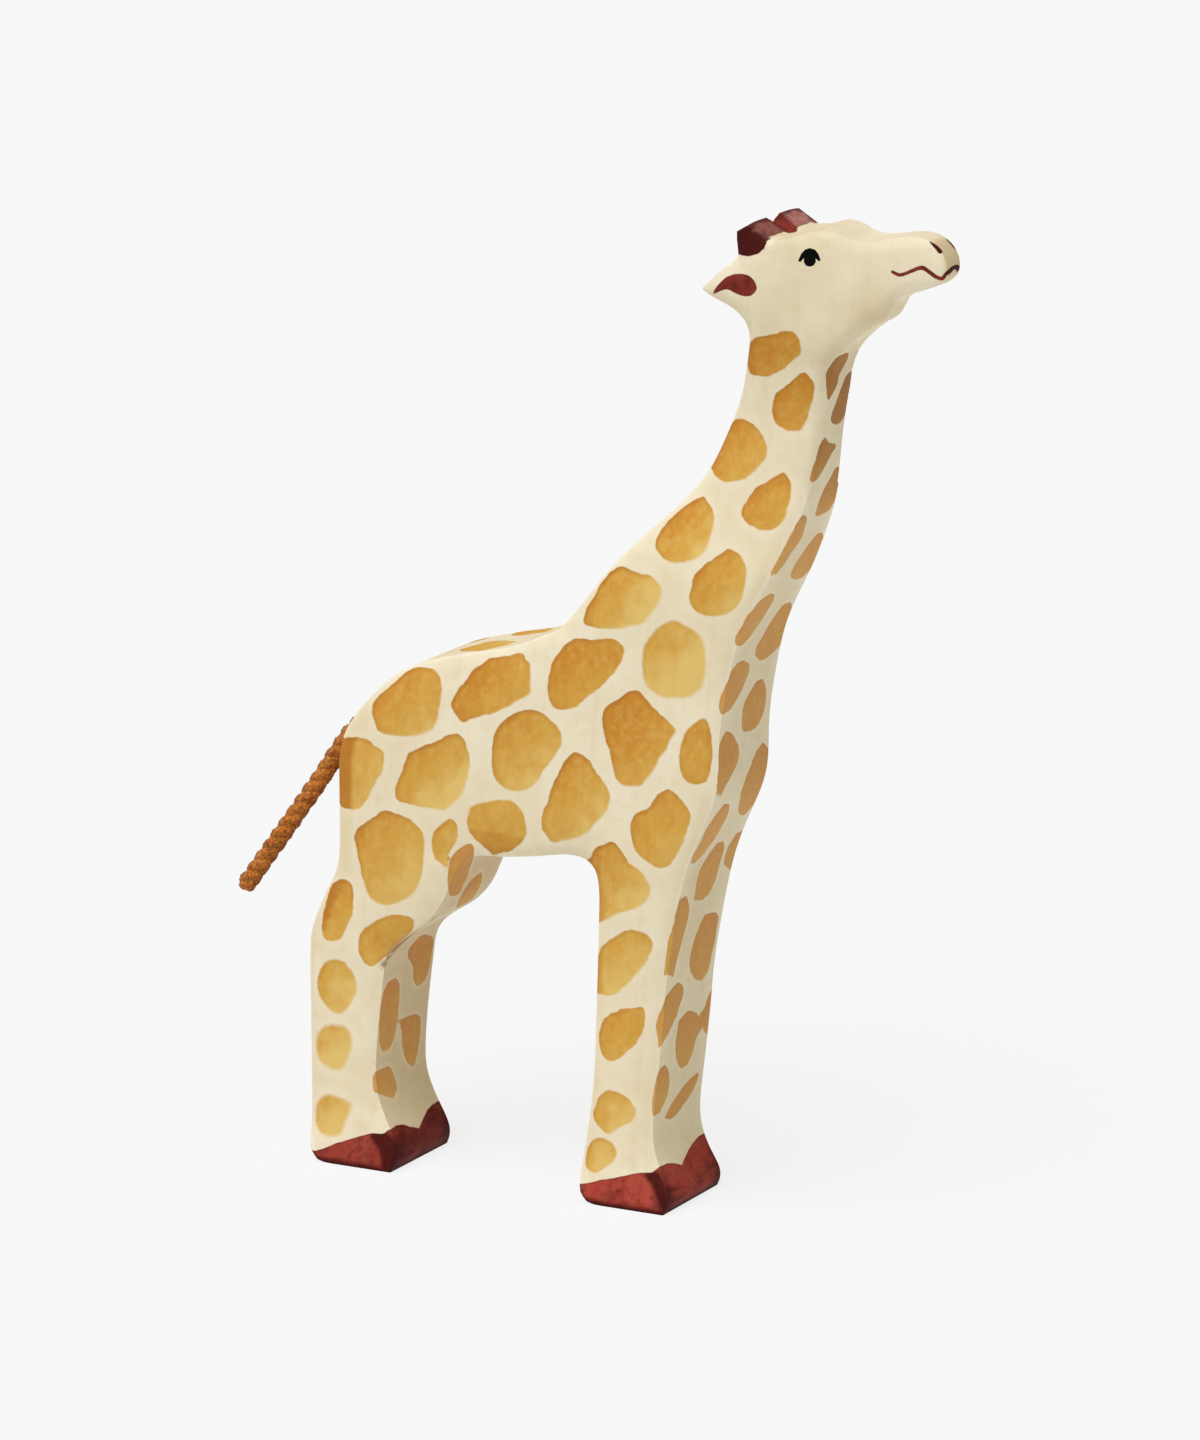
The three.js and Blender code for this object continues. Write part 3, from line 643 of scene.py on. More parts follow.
@dataclass(frozen=True)
class PaintedWood:
    """Whitewashed wood with ochre spots, dark red paint and black eyes under a thin satin varnish, with
    painted highlights, painted shade and a painted reflection in places.

    The sizes are those of the grain, the clouds and the hand's marks in metres, and the tilts are in degrees.
    """

    wash: Colour = paint(233, 219, 186)
    bare: Colour = paint(222, 202, 158)
    chalk: Colour = paint(240, 229, 202)
    bright: Colour = paint(252, 244, 222)
    dull: Colour = paint(210, 187, 146)
    ochre_pale: Colour = paint(227, 194, 114)
    ochre: Colour = paint(213, 163, 72)
    ochre_deep: Colour = paint(202, 136, 48)
    ochre_rim: Colour = paint(176, 114, 42)
    ochre_dusty: Colour = paint(214, 160, 108)
    ochre_shade: Colour = paint(138, 86, 42)
    dirt: Colour = paint(142, 100, 62)
    red: Colour = paint(172, 68, 54)
    red_light: Colour = paint(182, 88, 68)
    red_deep: Colour = paint(62, 12, 11)
    red_dry: Colour = paint(180, 132, 124)
    red_brown: Colour = paint(122, 48, 50)
    black: Colour = paint(1, 1, 1)
    grain_width: float = 0.0011
    grain_length: float = 0.05
    grain_tilt: float = 4.0
    cloud_size: float = 0.018
    fine_size: float = 0.0016
    hand_size: float = 0.0042
    mottle_size: float = 0.0028
    streak_size: float = 0.0013
    streak_tilt: float = 38.0
    fleck_size: float = 0.0026
    stroke_size: float = 0.0009
    stroke_tilts: tuple[float, float] = (25.0, 52.0)

    def material(self) -> bpy.types.Material:
        """Mixes the paints of the wooden body.

        Returns:
            The material.
        """
        s = Shader("painted_wood")
        along = s.place((1, 1, self.grain_length / self.grain_width), (0, self.grain_tilt, 0))
        grain = s.noise(self.grain_width, 3, along)
        wide_grain = s.noise(self.grain_width * 4, 2, along)
        cloud = s.noise(self.cloud_size, 3)
        fine = s.noise(self.fine_size, 3)
        hand = s.noise(self.hand_size, 2)
        front, rear, worn, tint, crease = map(s.attribute, ("front", "rear", "worn", "tint", "crease"))

        wood = s.layers(
            self.wash,
            (cloud.step(0.35, 0.7), self.chalk),
            (grain.step(0.5, 0.78) * 0.22 + wide_grain.step(0.52, 0.72) * 0.2, self.bare),
            (s.noise(self.mottle_size, 3).step(0.46, 0.68) * 0.22, self.bare),
            # Lighter along the arrises, partly wear and partly a painted highlight, and darker in the grooves
            (worn.step(0.2, 0.8) * 0.6, self.bright),
            (worn.step(-0.3, -1.0) * 0.45, self.bare),
            # Painted highlight and painted shade on the wash: paler under the jaw and on the snout, darker at
            # the jaw's corner, the throat, the muzzle's end, the tops and the front faces
            (tint.step(0, 1), self.bright),
            (tint.step(0, -1), self.dull),
            # Painted shade on the rear faces
            (rear * 0.35, self.bare))

        edge = s.attribute("spot_edge") + (hand - 0.5) * 1.1 + (fine - 0.5) * 0.5
        pale, lean, base = map(s.attribute, ("spot_pale", "spot_lean", "spot_tone"))
        # On the rear faces the tone is deeper, a painted shade
        tone = base + (hand - 0.5) * 0.7 + (cloud - 0.5) * 0.4 - pale * 0.55 - lean * 0.22 + rear * 0.5
        streaks = s.noise(self.streak_size, 2, s.place((1, 1, 5), (0, self.streak_tilt, 0)))
        rim = edge.step(-1.4, 0.0) * (lean * -0.32 + 0.2 + (cloud - 0.5) * 0.7 - pale * 0.9).higher(0.04)
        ochre = s.layers(
            self.ochre_pale,
            (tone.step(0.0, 0.55), self.ochre),
            (tone.step(0.5, 1.1), self.ochre_deep),
            (streaks.step(0.45, 0.75) * tone.step(0.2, 0.9) * 0.5, self.ochre_deep),
            (fine.step(0.4, 0.8) * 0.3, self.ochre_pale),
            (grain.step(0.52, 0.8) * 0.25, self.ochre_pale),
            (rim * base.step(0.05, 0.5), self.ochre_rim),
            # Painted shade: the rear faces darker, a shaded copy of the ochre on the front faces, darker
            # still high on the neck's front
            (rear * 0.62, self.ochre_rim),
            (front * (hand * 0.7 + fine * 0.5 - 0.15).higher(0), self.ochre_dusty),
            (s.attribute("shade") * 0.6, self.ochre_shade))
        soft = pale.higher(0) * 1.2 + 0.22 + base.step(0.42, 0.15) * 0.75

        red_edge = s.attribute("red_edge") + (fine - 0.5) * 0.25
        red_cover = red_edge.step(0.1, -0.1)
        pool = s.attribute("red_pool") + (hand - 0.5) * 1.6
        dry = s.attribute("red_dry") * (fine * 0.6 + wide_grain * 0.6).step(0.3, 0.65)
        strokes = s.noise(self.stroke_size, 2, s.place((1, 1, 3), (*self.stroke_tilts, 0)))
        red = s.layers(
            self.red,
            (wide_grain.step(0.4, 0.68) * 0.5, self.red_light),
            (hand.step(0.5, 0.8) * 0.5, self.red_deep),
            # The front faces browner, a painted shade, among the flecks
            (s.noise(self.fleck_size, 3).step(0.52, 0.66) * 0.45 + front * 0.25, self.red_brown),
            # Darker red on the hoof bands, soles, horn sides and lines, with painted shade on the hind
            # hooves' fronts
            (pool.step(1.1, -0.6) * 0.93, self.red_deep),
            # Painted reflection on the horns' front slopes
            (dry * 0.85, self.red_dry),
            # The red is darker along the arrises
            (worn.step(0.35, 1.0) * 0.7, self.red_deep),
            (strokes.step(0.5, 0.7) * 0.35, self.red_deep),
            ((red_edge + 0.6).step(0.0, 0.6) * 0.3, self.red_deep))

        coloured = s.layers(
            wood,
            (edge.step(2.6, 0.6) * 0.3, self.chalk),
            ((edge / soft).step(0.5, -0.9), ochre),
            (red_cover, red),
            # Painted shadow along the crease under the thigh's overhang
            (crease.step(0.8, 0.3) * 0.5 + crease.step(1.8, 0.3) * 0.25, self.dirt),
            (s.attribute("eye_edge").step(0.06, -0.06), self.black))
        relief = s.bump(grain * 0.6 + wide_grain * 0.4, 0.25, 0.00012)
        relief = s.bump(cloud, 0.25, 0.0006, relief)
        gloss = 0.58 + red_cover * 0.06 + (fine - 0.5) * 0.12
        return s.coated({"Base Color": coloured, "Roughness": gloss, "Normal": relief, "Coat Weight": 0.02,
                         "Coat Roughness": 0.4, "Specular IOR Level": 0.08})


@dataclass(frozen=True)
class TailYarn:
    """Rust brown cotton yarn with lighter fibres that stand proud of it, and painted shade between the
    strands, at the cord's rims and at its root. Sizes in metres.
    """

    brown: Colour = paint(188, 108, 32)
    dark: Colour = paint(128, 66, 22)
    fibre: Colour = paint(226, 150, 68)
    olive: Colour = paint(150, 126, 50)
    rust: Colour = paint(196, 84, 44)
    shade: Colour = paint(66, 40, 20)
    fibre_width: float = 0.00035
    fibre_tilt: float = 40.0
    patch_size: float = 0.006
    olive_size: float = 0.0007
    rust_size: float = 0.0009

    def material(self) -> bpy.types.Material:
        """Mixes the colours of the tail's strands.

        Returns:
            The material.
        """
        s = Shader("tail_yarn")
        fibres = s.noise(self.fibre_width, 3, s.place((1, 1, 3.5), (0, self.fibre_tilt, 0)))
        specks = s.noise(self.fibre_width * 1.8, 2)
        colour = s.layers(
            self.dark,
            (fibres.step(0.35, 0.62), self.brown),
            (specks.step(0.52, 0.68) * 0.8, self.fibre),
            (s.noise(self.patch_size, 2).step(0.4, 0.7) * 0.25, self.fibre),
            # Painted shade between the strands
            (s.attribute("groove").step(0.3, 0.75) * 0.45, self.dark),
            (s.noise(self.olive_size, 1).step(0.6, 0.68) * 0.5, self.olive),
            (s.noise(self.rust_size, 1, s.place((1.3, 1, 1))).step(0.6, 0.7) * 0.5, self.rust),
            # Painted shade at the cord's rims and at its root in the hole
            (s.attribute("dusk").step(0.0, 0.8) * 0.8, self.shade))
        relief = s.bump(fibres * 0.6 + specks * 0.4, 0.8, 0.00035)
        return s.coated({"Base Color": colour, "Roughness": 0.88 - specks * 0.1, "Normal": relief,
                         "Sheen Weight": 0.08, "Sheen Roughness": 0.5, "Specular IOR Level": 0.2})


@dataclass(frozen=True)
class SetGlue:
    """Set wood glue: yellowish, cloudy, with small bubbles."""

    amber: Colour = paint(214, 186, 128)
    cloudy: Colour = paint(232, 216, 176)
    cloud_size: float = 0.0012
    bubbles_per_metre: float = 2600.0

    def material(self) -> bpy.types.Material:
        """Mixes the colours of the glue in the tail's hole.

        Returns:
            The material.
        """
        s = Shader("set_glue")
        cloud = s.noise(self.cloud_size, 3)
        bubbles = s.node("ShaderNodeTexVoronoi", {}, {"Vector": s.place(), "Scale": self.bubbles_per_metre})
        colour = s.blend(cloud.step(0.35, 0.65), self.amber, self.cloudy)
        relief = s.bump(bubbles.step(0.1, 0.5), 0.4, 0.0001)
        return s.coated({"Base Color": colour, "Roughness": 0.3 + cloud * 0.2, "Normal": relief})


@dataclass(frozen=True)
class StudioPaper:
    """Pale background paper, which the camera sees evenly lit under a faint shadow."""

    shade: Colour = paint(245, 245, 245)
    fibre: Colour = paint(236, 236, 236)
    fibre_size: float = 0.0015
    even: float = 0.88

    def material(self) -> bpy.types.Material:
        """Mixes the floor's paper with an even glow.

        Returns:
            The material.
        """
        s = Shader("studio_paper")
        seen = s.node("ShaderNodeLightPath", output="Is Camera Ray")
        for other in ("Is Glossy Ray", "Is Transmission Ray"):
            seen = seen.higher(s.node("ShaderNodeLightPath", output=other))
        colour = s.blend(s.noise(self.fibre_size, 3) * 0.04, self.shade, self.fibre)
        paper = s.node("ShaderNodeBsdfDiffuse", {}, {"Color": colour, "Roughness": 1.0})
        glow = s.node("ShaderNodeEmission", {}, {"Color": self.shade, "Strength": 1.0})
        return s.finish(s.node("ShaderNodeMixShader", {}, {0: seen * self.even, 1: paper, 2: glow}))


# Lines and meshes


def smooth_loop(points: np.ndarray, steps: int = 4) -> np.ndarray:
    """Rounds a closed outline.

    Args:
        points: The outline's corners, one in each row.
        steps: The number of points for each stretch between two corners.

    Returns:
        The rounded outline, which passes through every corner.
    """
    before, after, beyond = (np.roll(points, shift, 0) for shift in (1, -1, -2))
    parts = []
    for step in range(steps):
        t = step / steps
        parts.append(0.5 * (2 * points + (after - before) * t + (2 * before - 5 * points + 4 * after - beyond)
                            * t ** 2 + (3 * points - before - 3 * after + beyond) * t ** 3))
    return np.stack(parts, 1).reshape(-1, points.shape[1])


def smooth_line(points: np.ndarray, steps: int = 5) -> np.ndarray:
    """Rounds an open line as smooth_loop rounds a closed one."""
    ends = np.concatenate([[2 * points[0] - points[1]], points, [2 * points[-1] - points[-2]]])
    return smooth_loop(ends, steps)[steps:-2 * steps + 1]


def lengths_along(line: np.ndarray) -> np.ndarray:
    """How far along an open line each of its points lies."""
    return np.concatenate([[0], np.cumsum(np.linalg.norm(np.diff(line, axis=0), axis=1))])


def edge_distance(where: np.ndarray, outline: np.ndarray, closed: bool = True) -> np.ndarray:
    """The distance to an outline, negative inside a closed one.

    Args:
        where: The places to measure from.
        outline: The outline's points, in the same number of dimensions.
        closed: Whether the last point joins the first, in two dimensions.

    Returns:
        One distance for each place.
    """
    start, end = outline, np.roll(outline, -1, 0)
    if not closed:
        start, end = start[:-1], end[:-1]
    nearest = np.full(len(where), np.inf)
    inside = np.zeros(len(where), bool)
    for a, b in zip(start, end):
        run = b - a
        share = np.clip((where - a) @ run / max(run @ run, 1e-12), 0, 1)
        nearest = np.minimum(nearest, np.linalg.norm(where - a - share[:, None] * run, axis=1))
        if closed:
            crosses = (a[1] > where[:, 1]) != (b[1] > where[:, 1])
            rise = run[1] if abs(run[1]) > 1e-12 else 1e-12
            inside ^= crosses & (where[:, 0] < a[0] + (where[:, 1] - a[1]) / rise * run[0])
    return np.where(inside, -nearest, nearest)


def ramp(values: np.ndarray, start: float | np.ndarray, end: float | np.ndarray) -> np.ndarray:
    """How far each value has come from start, at 0, to end, at 1, which may be the lower one."""
    return np.clip((values - start) / (end - start), 0, 1)


def neighbour_sum(values: np.ndarray, ends: np.ndarray) -> np.ndarray:
    """Adds up the values next to each point.

    Args:
        values: The points' values.
        ends: The numbers of each edge's two points.

    Returns:
        The sum for each point.
    """
    total = np.zeros_like(values)
    np.add.at(total, ends[:, 0], values[ends[:, 1]])
    np.add.at(total, ends[:, 1], values[ends[:, 0]])
    return total


def halve(work: bmesh.types.BMesh, edges: list[bmesh.types.BMEdge]) -> None:
    """Halves edges of a mesh of triangles, and makes triangles of it again."""
    bmesh.ops.subdivide_edges(work, edges=edges, cuts=1)
    bmesh.ops.triangulate(work, faces=[face for face in work.faces if len(face.verts) > 3])


def grow_ring(work: bmesh.types.BMesh, ring: list[bmesh.types.BMVert]) -> list[bmesh.types.BMVert]:
    """Extrudes a ring of points.

    Args:
        work: The ring's mesh, which is changed.
        ring: The ring's points in their order round it.

    Returns:
        The new ring's points in the same order.
    """
    loop = [edge for point, after in zip(ring, ring[1:] + ring[:1]) for edge in point.link_edges
            if edge.other_vert(point) is after]
    grown = bmesh.ops.extrude_edge_only(work, edges=loop)["geom"]
    fresh = {item for item in grown if isinstance(item, bmesh.types.BMVert)}
    return [next(edge.other_vert(point) for edge in point.link_edges if edge.other_vert(point) in fresh)
            for point in ring]


def new_piece(name: str, work: bmesh.types.BMesh, material: bpy.types.Material) -> bpy.types.Object:
    """Puts a new object into the scene.

    Args:
        name: The object's name.
        work: Its shape, which is freed.
        material: Its finish.

    Returns:
        The object.
    """
    mesh = bpy.data.meshes.new(name)
    work.to_mesh(mesh)
    work.free()
    mesh.materials.append(material)
    piece = bpy.data.objects.new(name, mesh)
    bpy.context.scene.collection.objects.link(piece)
    return piece


# The giraffe


@dataclass
class Patch:
    """A closed outline on a plane that lies against the wood. Lengths in millimetres."""

    outline: np.ndarray
    way_out: np.ndarray

    def __post_init__(self) -> None:
        """Finds the patch's middle, how far its outline reaches from it, and its plane's two directions."""
        self.middle = self.outline.mean(0)
        self.reach = np.linalg.norm(self.outline - self.middle, axis=1)
        self.way_out = self.way_out / np.linalg.norm(self.way_out)
        across = np.cross((0.0, 0.0, 1.0), self.way_out)
        if np.linalg.norm(across) < 0.2:
            across = np.cross((0.0, 1.0, 0.0), self.way_out)
        self.across = across / np.linalg.norm(across)
        self.along = np.cross(self.way_out, self.across)

    def flat(self, places: np.ndarray) -> np.ndarray:
        """The places seen on the patch's plane, in two dimensions."""
        away = places - self.middle
        return np.stack([away @ self.across, away @ self.along], 1)

    def mirrored(self, chance: np.random.Generator | None = None) -> "Patch":
        """The same patch on the other side of the board.

        Args:
            chance: Where it is given, the patch is also shifted, turned and sized a little by hand.

        Returns:
            The patch on the other side.
        """
        turned = Patch(self.outline * (1, -1, 1), self.way_out * (1, -1, 1))
        if chance is None:
            return turned
        flat = turned.flat(turned.outline) * chance.uniform(0.9, 1.06)
        angle = chance.uniform(-0.2, 0.2)
        flat = flat @ np.array(((math.cos(angle), -math.sin(angle)), (math.sin(angle), math.cos(angle))))
        flat = flat + chance.uniform(-1.1, 1.1, 2)
        outline = turned.middle + flat[:, :1] * turned.across + flat[:, 1:] * turned.along
        return Patch(outline, turned.way_out)


@dataclass
class CarvedBody:
    """The wooden body: a finer skin of its solid, with its paint kept at the skin's points.

    All lengths are in millimetres, apart from those in the meshes themselves. tree is the wood's surface,
    places are the skin's points, normals the directions out of the wood there, and values their paint, by
    name. Heights and reaches are measured from the soles and from the middle of the body's length.
    """

    camera: PhotoCamera
    finish: PaintedWood
    cell: float = 0.97
    rounds: int = 14
    most_drift: float = 0.5
    crisp_angle: float = math.radians(52)
    arris_bend: float = 0.16
    beyond: float = 6.0
    most_turned: float = -0.15
    wrap: float = 3.2
    front_wrap: float = 4.16
    front_crispness: float = 1.8
    far: float = 50.0
    horn_ridge: float = 31.65
    horn_front: float = 37.65
    horn_height: float = 210.5
    horn_notch: float = 3.1
    horn_saddle: float = 1.2
    horn_valley: float = 0.3
    horn_ends: float = 0.42
    jaw_corner: tuple[float, float] = (58.6, 196.4)
    jaw_bulge: float = 0.85
    jaw_reach: float = 2.9
    jaw_shade: float = 5.0
    throat_offset: tuple[float, float, float] = (9.0, 0.0, 8.0)
    throat_shade: float = 8.0
    head_foot: float = 180.0
    brow_top: float = 205.0
    shaded_neck: tuple[float, float] = (150.0, 174.0)
    hoof_top: float = 30.0
    hoof_length: float = 22.0
    hoof_half: tuple[float, float] = (10.0, 13.0)
    hind_front: float = -20.0
    line_width: float = 0.92
    nostril_width: float = 1.05
    rump_heights: tuple[float, float] = (52.0, 103.0)
    rump_front: float = -50.0
    strip_width: float = 4.2
    strip_blur: float = 1.3
    fill_heights: tuple[float, float] = (19.0, 184.0)
    fill_sizes: tuple[float, float] = (3.3, 5.6)
    fill_gap: float = 2.2
    level_height: float = 2.0
    tree: BVHTree = field(init=False)
    places: np.ndarray = field(init=False)
    normals: np.ndarray = field(init=False)
    values: dict[str, np.ndarray] = field(init=False, default_factory=dict)

    def skin(self) -> bmesh.types.BMesh:
        """A skin of small faces over the body's solid, with its facets smoothed out.

        Returns:
            The skin, with each crisp edge of the knife marked sharp.
        """
        work = bmesh.new()
        work.from_mesh(frame["nodes"]["carved_body"].data)
        bmesh.ops.remove_doubles(work, verts=work.verts, dist=1e-6)
        bmesh.ops.dissolve_degenerate(work, edges=work.edges, dist=1e-5)
        self.mark_crisp(work)
        for cells in (2.4, 1.2, 1):
            longest = cells * self.cell * MM
            halve(work, [edge for edge in work.edges if edge.calc_length() > longest])
        self.mark_crisp(work)
        self.relax(work)
        return work

    def mark_crisp(self, work: bmesh.types.BMesh) -> None:
        """Marks the skin's crisp edges sharp."""
        for edge in work.edges:
            edge.smooth = edge.calc_face_angle(0) < self.crisp_angle

    def relax(self, work: bmesh.types.BMesh) -> None:
        """Takes the solid's facets out of the skin, along each crisp edge and over the faces between them.

        Args:
            work: The skin, which is changed.
        """
        work.verts.index_update()
        start = np.array([vertex.co for vertex in work.verts]) / MM
        every = np.array([[v.index for v in edge.verts] for edge in work.edges])
        sharp = every[[not edge.smooth for edge in work.edges]]
        on_edge = np.bincount(sharp.ravel(), minlength=len(start))
        places = start.copy()
        for _ in range(self.rounds):
            for ends, moved in ((sharp, on_edge == 2), (every, on_edge == 0)):
                count = np.bincount(ends.ravel(), minlength=len(places))
                wanted = neighbour_sum(places, ends) / np.maximum(count, 1)[:, None]
                places[moved] += 0.5 * (wanted - places)[moved]
        drift = places - start
        horns = (start[:, 2] > self.horn_height) & (start[:, 0] < self.horn_front)
        most = np.where(horns, self.most_drift / 5, self.most_drift)
        drift *= np.minimum(1, most / np.maximum(np.linalg.norm(drift, axis=1), 1e-6))[:, None]
        for vertex, place in zip(work.verts, self.hollowed(start + drift)):
            vertex.co = Vector(place * MM)

    def hollowed(self, places: np.ndarray) -> np.ndarray:
        """Wears the horns' ridges down, and lets the jaw's corner stand out.

        Args:
            places: The skin's points.

        Returns:
            The points with those of the horns lowered and those of the jaw moved out.
        """
        x, side, z = places[:, 0], np.abs(places[:, 1]), places[:, 2]
        block = ramp(z, self.horn_height - 0.5, self.horn_height + 0.5) * (x < self.horn_front)
        behind = ramp(x, self.horn_ridge, self.horn_ridge - 1.5)
        worn = self.horn_saddle * behind * ramp(side, 7.5, 4.5) + self.horn_valley * ramp(side, 3.4, 0)
        worn += self.horn_ends * ramp(side, 6, 12) ** 2
        lowered = places.copy()
        lowered[:, 2] -= block * worn
        lowered[:, ::2] += (self.jaw_bulge * self.near_jaw(places, self.jaw_reach))[:, None] * (0.7, -0.7)
        return lowered

    def near_jaw(self, places: np.ndarray, reach: float) -> np.ndarray:
        """How near each point is to the jaw's corner, from 1 there to almost 0 at twice the reach."""
        apart = places[:, ::2] - self.jaw_corner
        return np.exp(-(apart ** 2).sum(axis=1) / reach ** 2)

    def refine(self, work: bmesh.types.BMesh) -> None:
        """Gives the skin finer faces round the thin painted lines.

        Args:
            work: The skin, which is changed.
        """
        self.tree = BVHTree.FromBMesh(work)
        lines = [(self.thrown(pixels)[0], reach) for pixels, reach in THIN_LINES]
        for share in (1, 0.8, 0.6):
            places = np.array([vertex.co for vertex in work.verts]) / MM
            near = np.zeros(len(places), bool)
            for line, reach in lines:
                for side in (1, -1):
                    near |= edge_distance(places, line * (1, side, 1), closed=False) < share * reach
            halve(work, [edge for edge in work.edges if all(near[v.index] for v in edge.verts)])
            work.verts.index_update()

    def thrown(self, pixels: "tuple[Pixel, ...] | np.ndarray") -> tuple[np.ndarray, np.ndarray]:
        """Throws pixels of the photograph onto the wood.

        Args:
            pixels: The pixels. One that misses the wood is kept on the plane of those that hit it.

        Returns:
            The places, and the mean direction out of the wood there.
        """
        eye = self.camera.place()
        reach = np.linalg.norm(eye - np.array(self.camera.target))
        rays = [self.camera.ray(pixel) for pixel in pixels]
        hits = [self.tree.ray_cast(Vector(eye), Vector(ray))[:2] for ray in rays]
        if all(place is None for place, _ in hits):
            log.warning("an outline just misses the wood near %s", pixels[0])
            hits = [self.tree.find_nearest(Vector(eye + ray * reach))[:2] for ray in rays]
        middle, way_out = (np.mean([np.array(hit[part]) for hit in hits if hit[0] is not None], 0)
                           for part in (0, 1))
        way_out /= np.linalg.norm(way_out)
        places = []
        for ray, (place, _) in zip(rays, hits):
            if place is None:
                slant = ray @ way_out
                grazing = abs(slant) < 0.05
                depth = np.linalg.norm(middle - eye) if grazing else (middle - eye) @ way_out / slant
                place = eye + ray * depth
            places.append(np.array(place))
        return np.array(places) / MM, way_out

    def patch(self, pixels: tuple[Pixel, ...]) -> Patch:
        """The patch of wood inside an outline of the photograph."""
        return Patch(*self.thrown(smooth_loop(np.array(pixels, float), 3)))

    def laid(self, patch: Patch, wrap: float) -> np.ndarray:
        """How far each point of the wood lies from a patch's edge.

        Args:
            patch: The patch.
            wrap: How deep below the patch's plane its paint reaches.

        Returns:
            The distances, negative inside.
        """
        result = np.full(len(self.places), self.far)
        away = np.linalg.norm(self.places - patch.middle, axis=1)
        close = (away < patch.reach.max() + self.beyond) & (self.normals @ patch.way_out > self.most_turned)
        here = self.places[close]
        depth = np.abs((here - patch.middle) @ patch.way_out)
        result[close] = np.maximum(edge_distance(patch.flat(here), patch.flat(patch.outline)), depth - wrap)
        return result

    def laid_twice(self, patch: Patch, wrap: float) -> np.ndarray:
        """As laid, for a patch and the same one on the other side of the board."""
        return np.minimum(self.laid(patch, wrap), self.laid(patch.mirrored(), wrap))

    def facing(self) -> np.ndarray:
        """How squarely the wood faces the camera at each point, from -1 to 1."""
        return self.normals @ self.camera.axes()[2]

    def levels(self) -> np.ndarray:
        """The number of the level that each point is on, counted from the soles."""
        return np.round(self.places[:, 2] / self.level_height).astype(int)

    def lay_spot(self, patch: Patch, tone: float, fade: float, allowed: np.ndarray | bool = True,
                 face: Face = Face.SIDE) -> None:
        """Lays one ochre spot over those before it.

        Args:
            patch: Where the spot is.
            tone: Its tone, as in Spot.
            fade: Its fade, as in Spot.
            allowed: The points that it may cover.
            face: The face of the board that it is on. Its edge is crisper off the side.
        """
        side = face is Face.SIDE
        crisp = 1.0 if side else self.front_crispness
        edge = self.laid(patch, self.wrap if side else self.front_wrap) * crisp + 0.5 * (crisp - 1)
        edge = np.where(allowed, edge, self.far)
        nearer = edge < self.values["spot_edge"]
        right, up, _ = self.camera.axes()
        way = right - up - ((right - up) @ patch.way_out) * patch.way_out
        lean = np.clip((self.places - patch.middle) @ (way / np.linalg.norm(way)) / patch.reach.mean(), -1, 1)
        for name, value in (("edge", edge), ("tone", tone), ("pale", lean * fade), ("lean", lean)):
            self.values["spot_" + name] = np.where(nearer, value, self.values["spot_" + name])
        # A front spot takes the front faces' painted shade
        dusty = float(face is Face.FRONT)
        self.values["spot_dusty"] = np.where(nearer & (edge < 0.5), dusty, self.values["spot_dusty"])

    def spots(self) -> None:
        """Lays the ochre spots: the photograph's, and others in their manner where it shows no wood."""
        for name, start in (("edge", self.far), ("tone", 0.5), ("pale", 0.0), ("lean", 0.0), ("dusty", 0.0)):
            self.values["spot_" + name] = np.full(len(self.places), start)
        chance = np.random.default_rng(28)
        far_side = (self.normals[:, 1] > 0.3) & (self.facing() < -0.03)
        for face, spots in SPOTS.items():
            for spot in spots.values():
                patch = self.patch(spot.outline)
                self.lay_spot(patch, spot.tone, spot.fade, face=face)
                if face is Face.SIDE:
                    other = patch.mirrored(chance)
                    self.lay_spot(other, spot.tone + chance.uniform(-0.15, 0.15), spot.fade, far_side)
        self.fill(chance)

    def fill(self, chance: np.random.Generator) -> None:
        """Lays spots on the rear, the belly and the insides of the legs, which the photograph doesn't show.

        Args:
            chance: The hand's chance.
        """
        z, facing, levels = self.places[:, 2], self.facing(), self.levels()
        lowest, highest = self.fill_heights
        hidden = (np.abs(self.normals[:, 1]) < 0.55) & (facing < -0.12)
        free = np.nonzero(hidden & (z > lowest) & (z < highest) & (self.values["spot_edge"] > 4.2))[0]
        half = np.zeros(levels.max() + 1)
        np.maximum.at(half, levels, np.abs(self.places[:, 1]))
        laid: list[tuple[np.ndarray, float]] = []
        for index in chance.permutation(free):
            size = chance.uniform(*self.fill_sizes)
            here, way_out = self.places[index], self.normals[index]
            near_photo = self.values["spot_edge"][index] < size + 1.2
            near_side = abs(here[1]) + 0.85 * size > half[levels[index]]
            if near_photo or near_side or any(
                    np.linalg.norm(here - middle) < size + other + self.fill_gap for middle, other in laid):
                continue
            across = np.cross((0, 1.0, 0), way_out)
            across /= np.linalg.norm(across)
            count = int(chance.integers(7, 10))
            turns = (np.arange(count) + chance.uniform(-0.25, 0.25, count)) / count * 2 * math.pi
            reach = size * chance.uniform(0.84, 1.12, count)
            wide = chance.uniform(1.0, 1.35) * reach * np.cos(turns)
            ring = here + np.outer(wide, across) + np.outer(reach * np.sin(turns), np.cross(way_out, across))
            self.lay_spot(Patch(smooth_loop(ring), way_out), chance.uniform(0.3, 0.8), chance.uniform(0, 0.4),
                          facing < -0.04)
            laid.append((here, size))
        log.info("%d spots where the photograph shows no wood", len(laid))

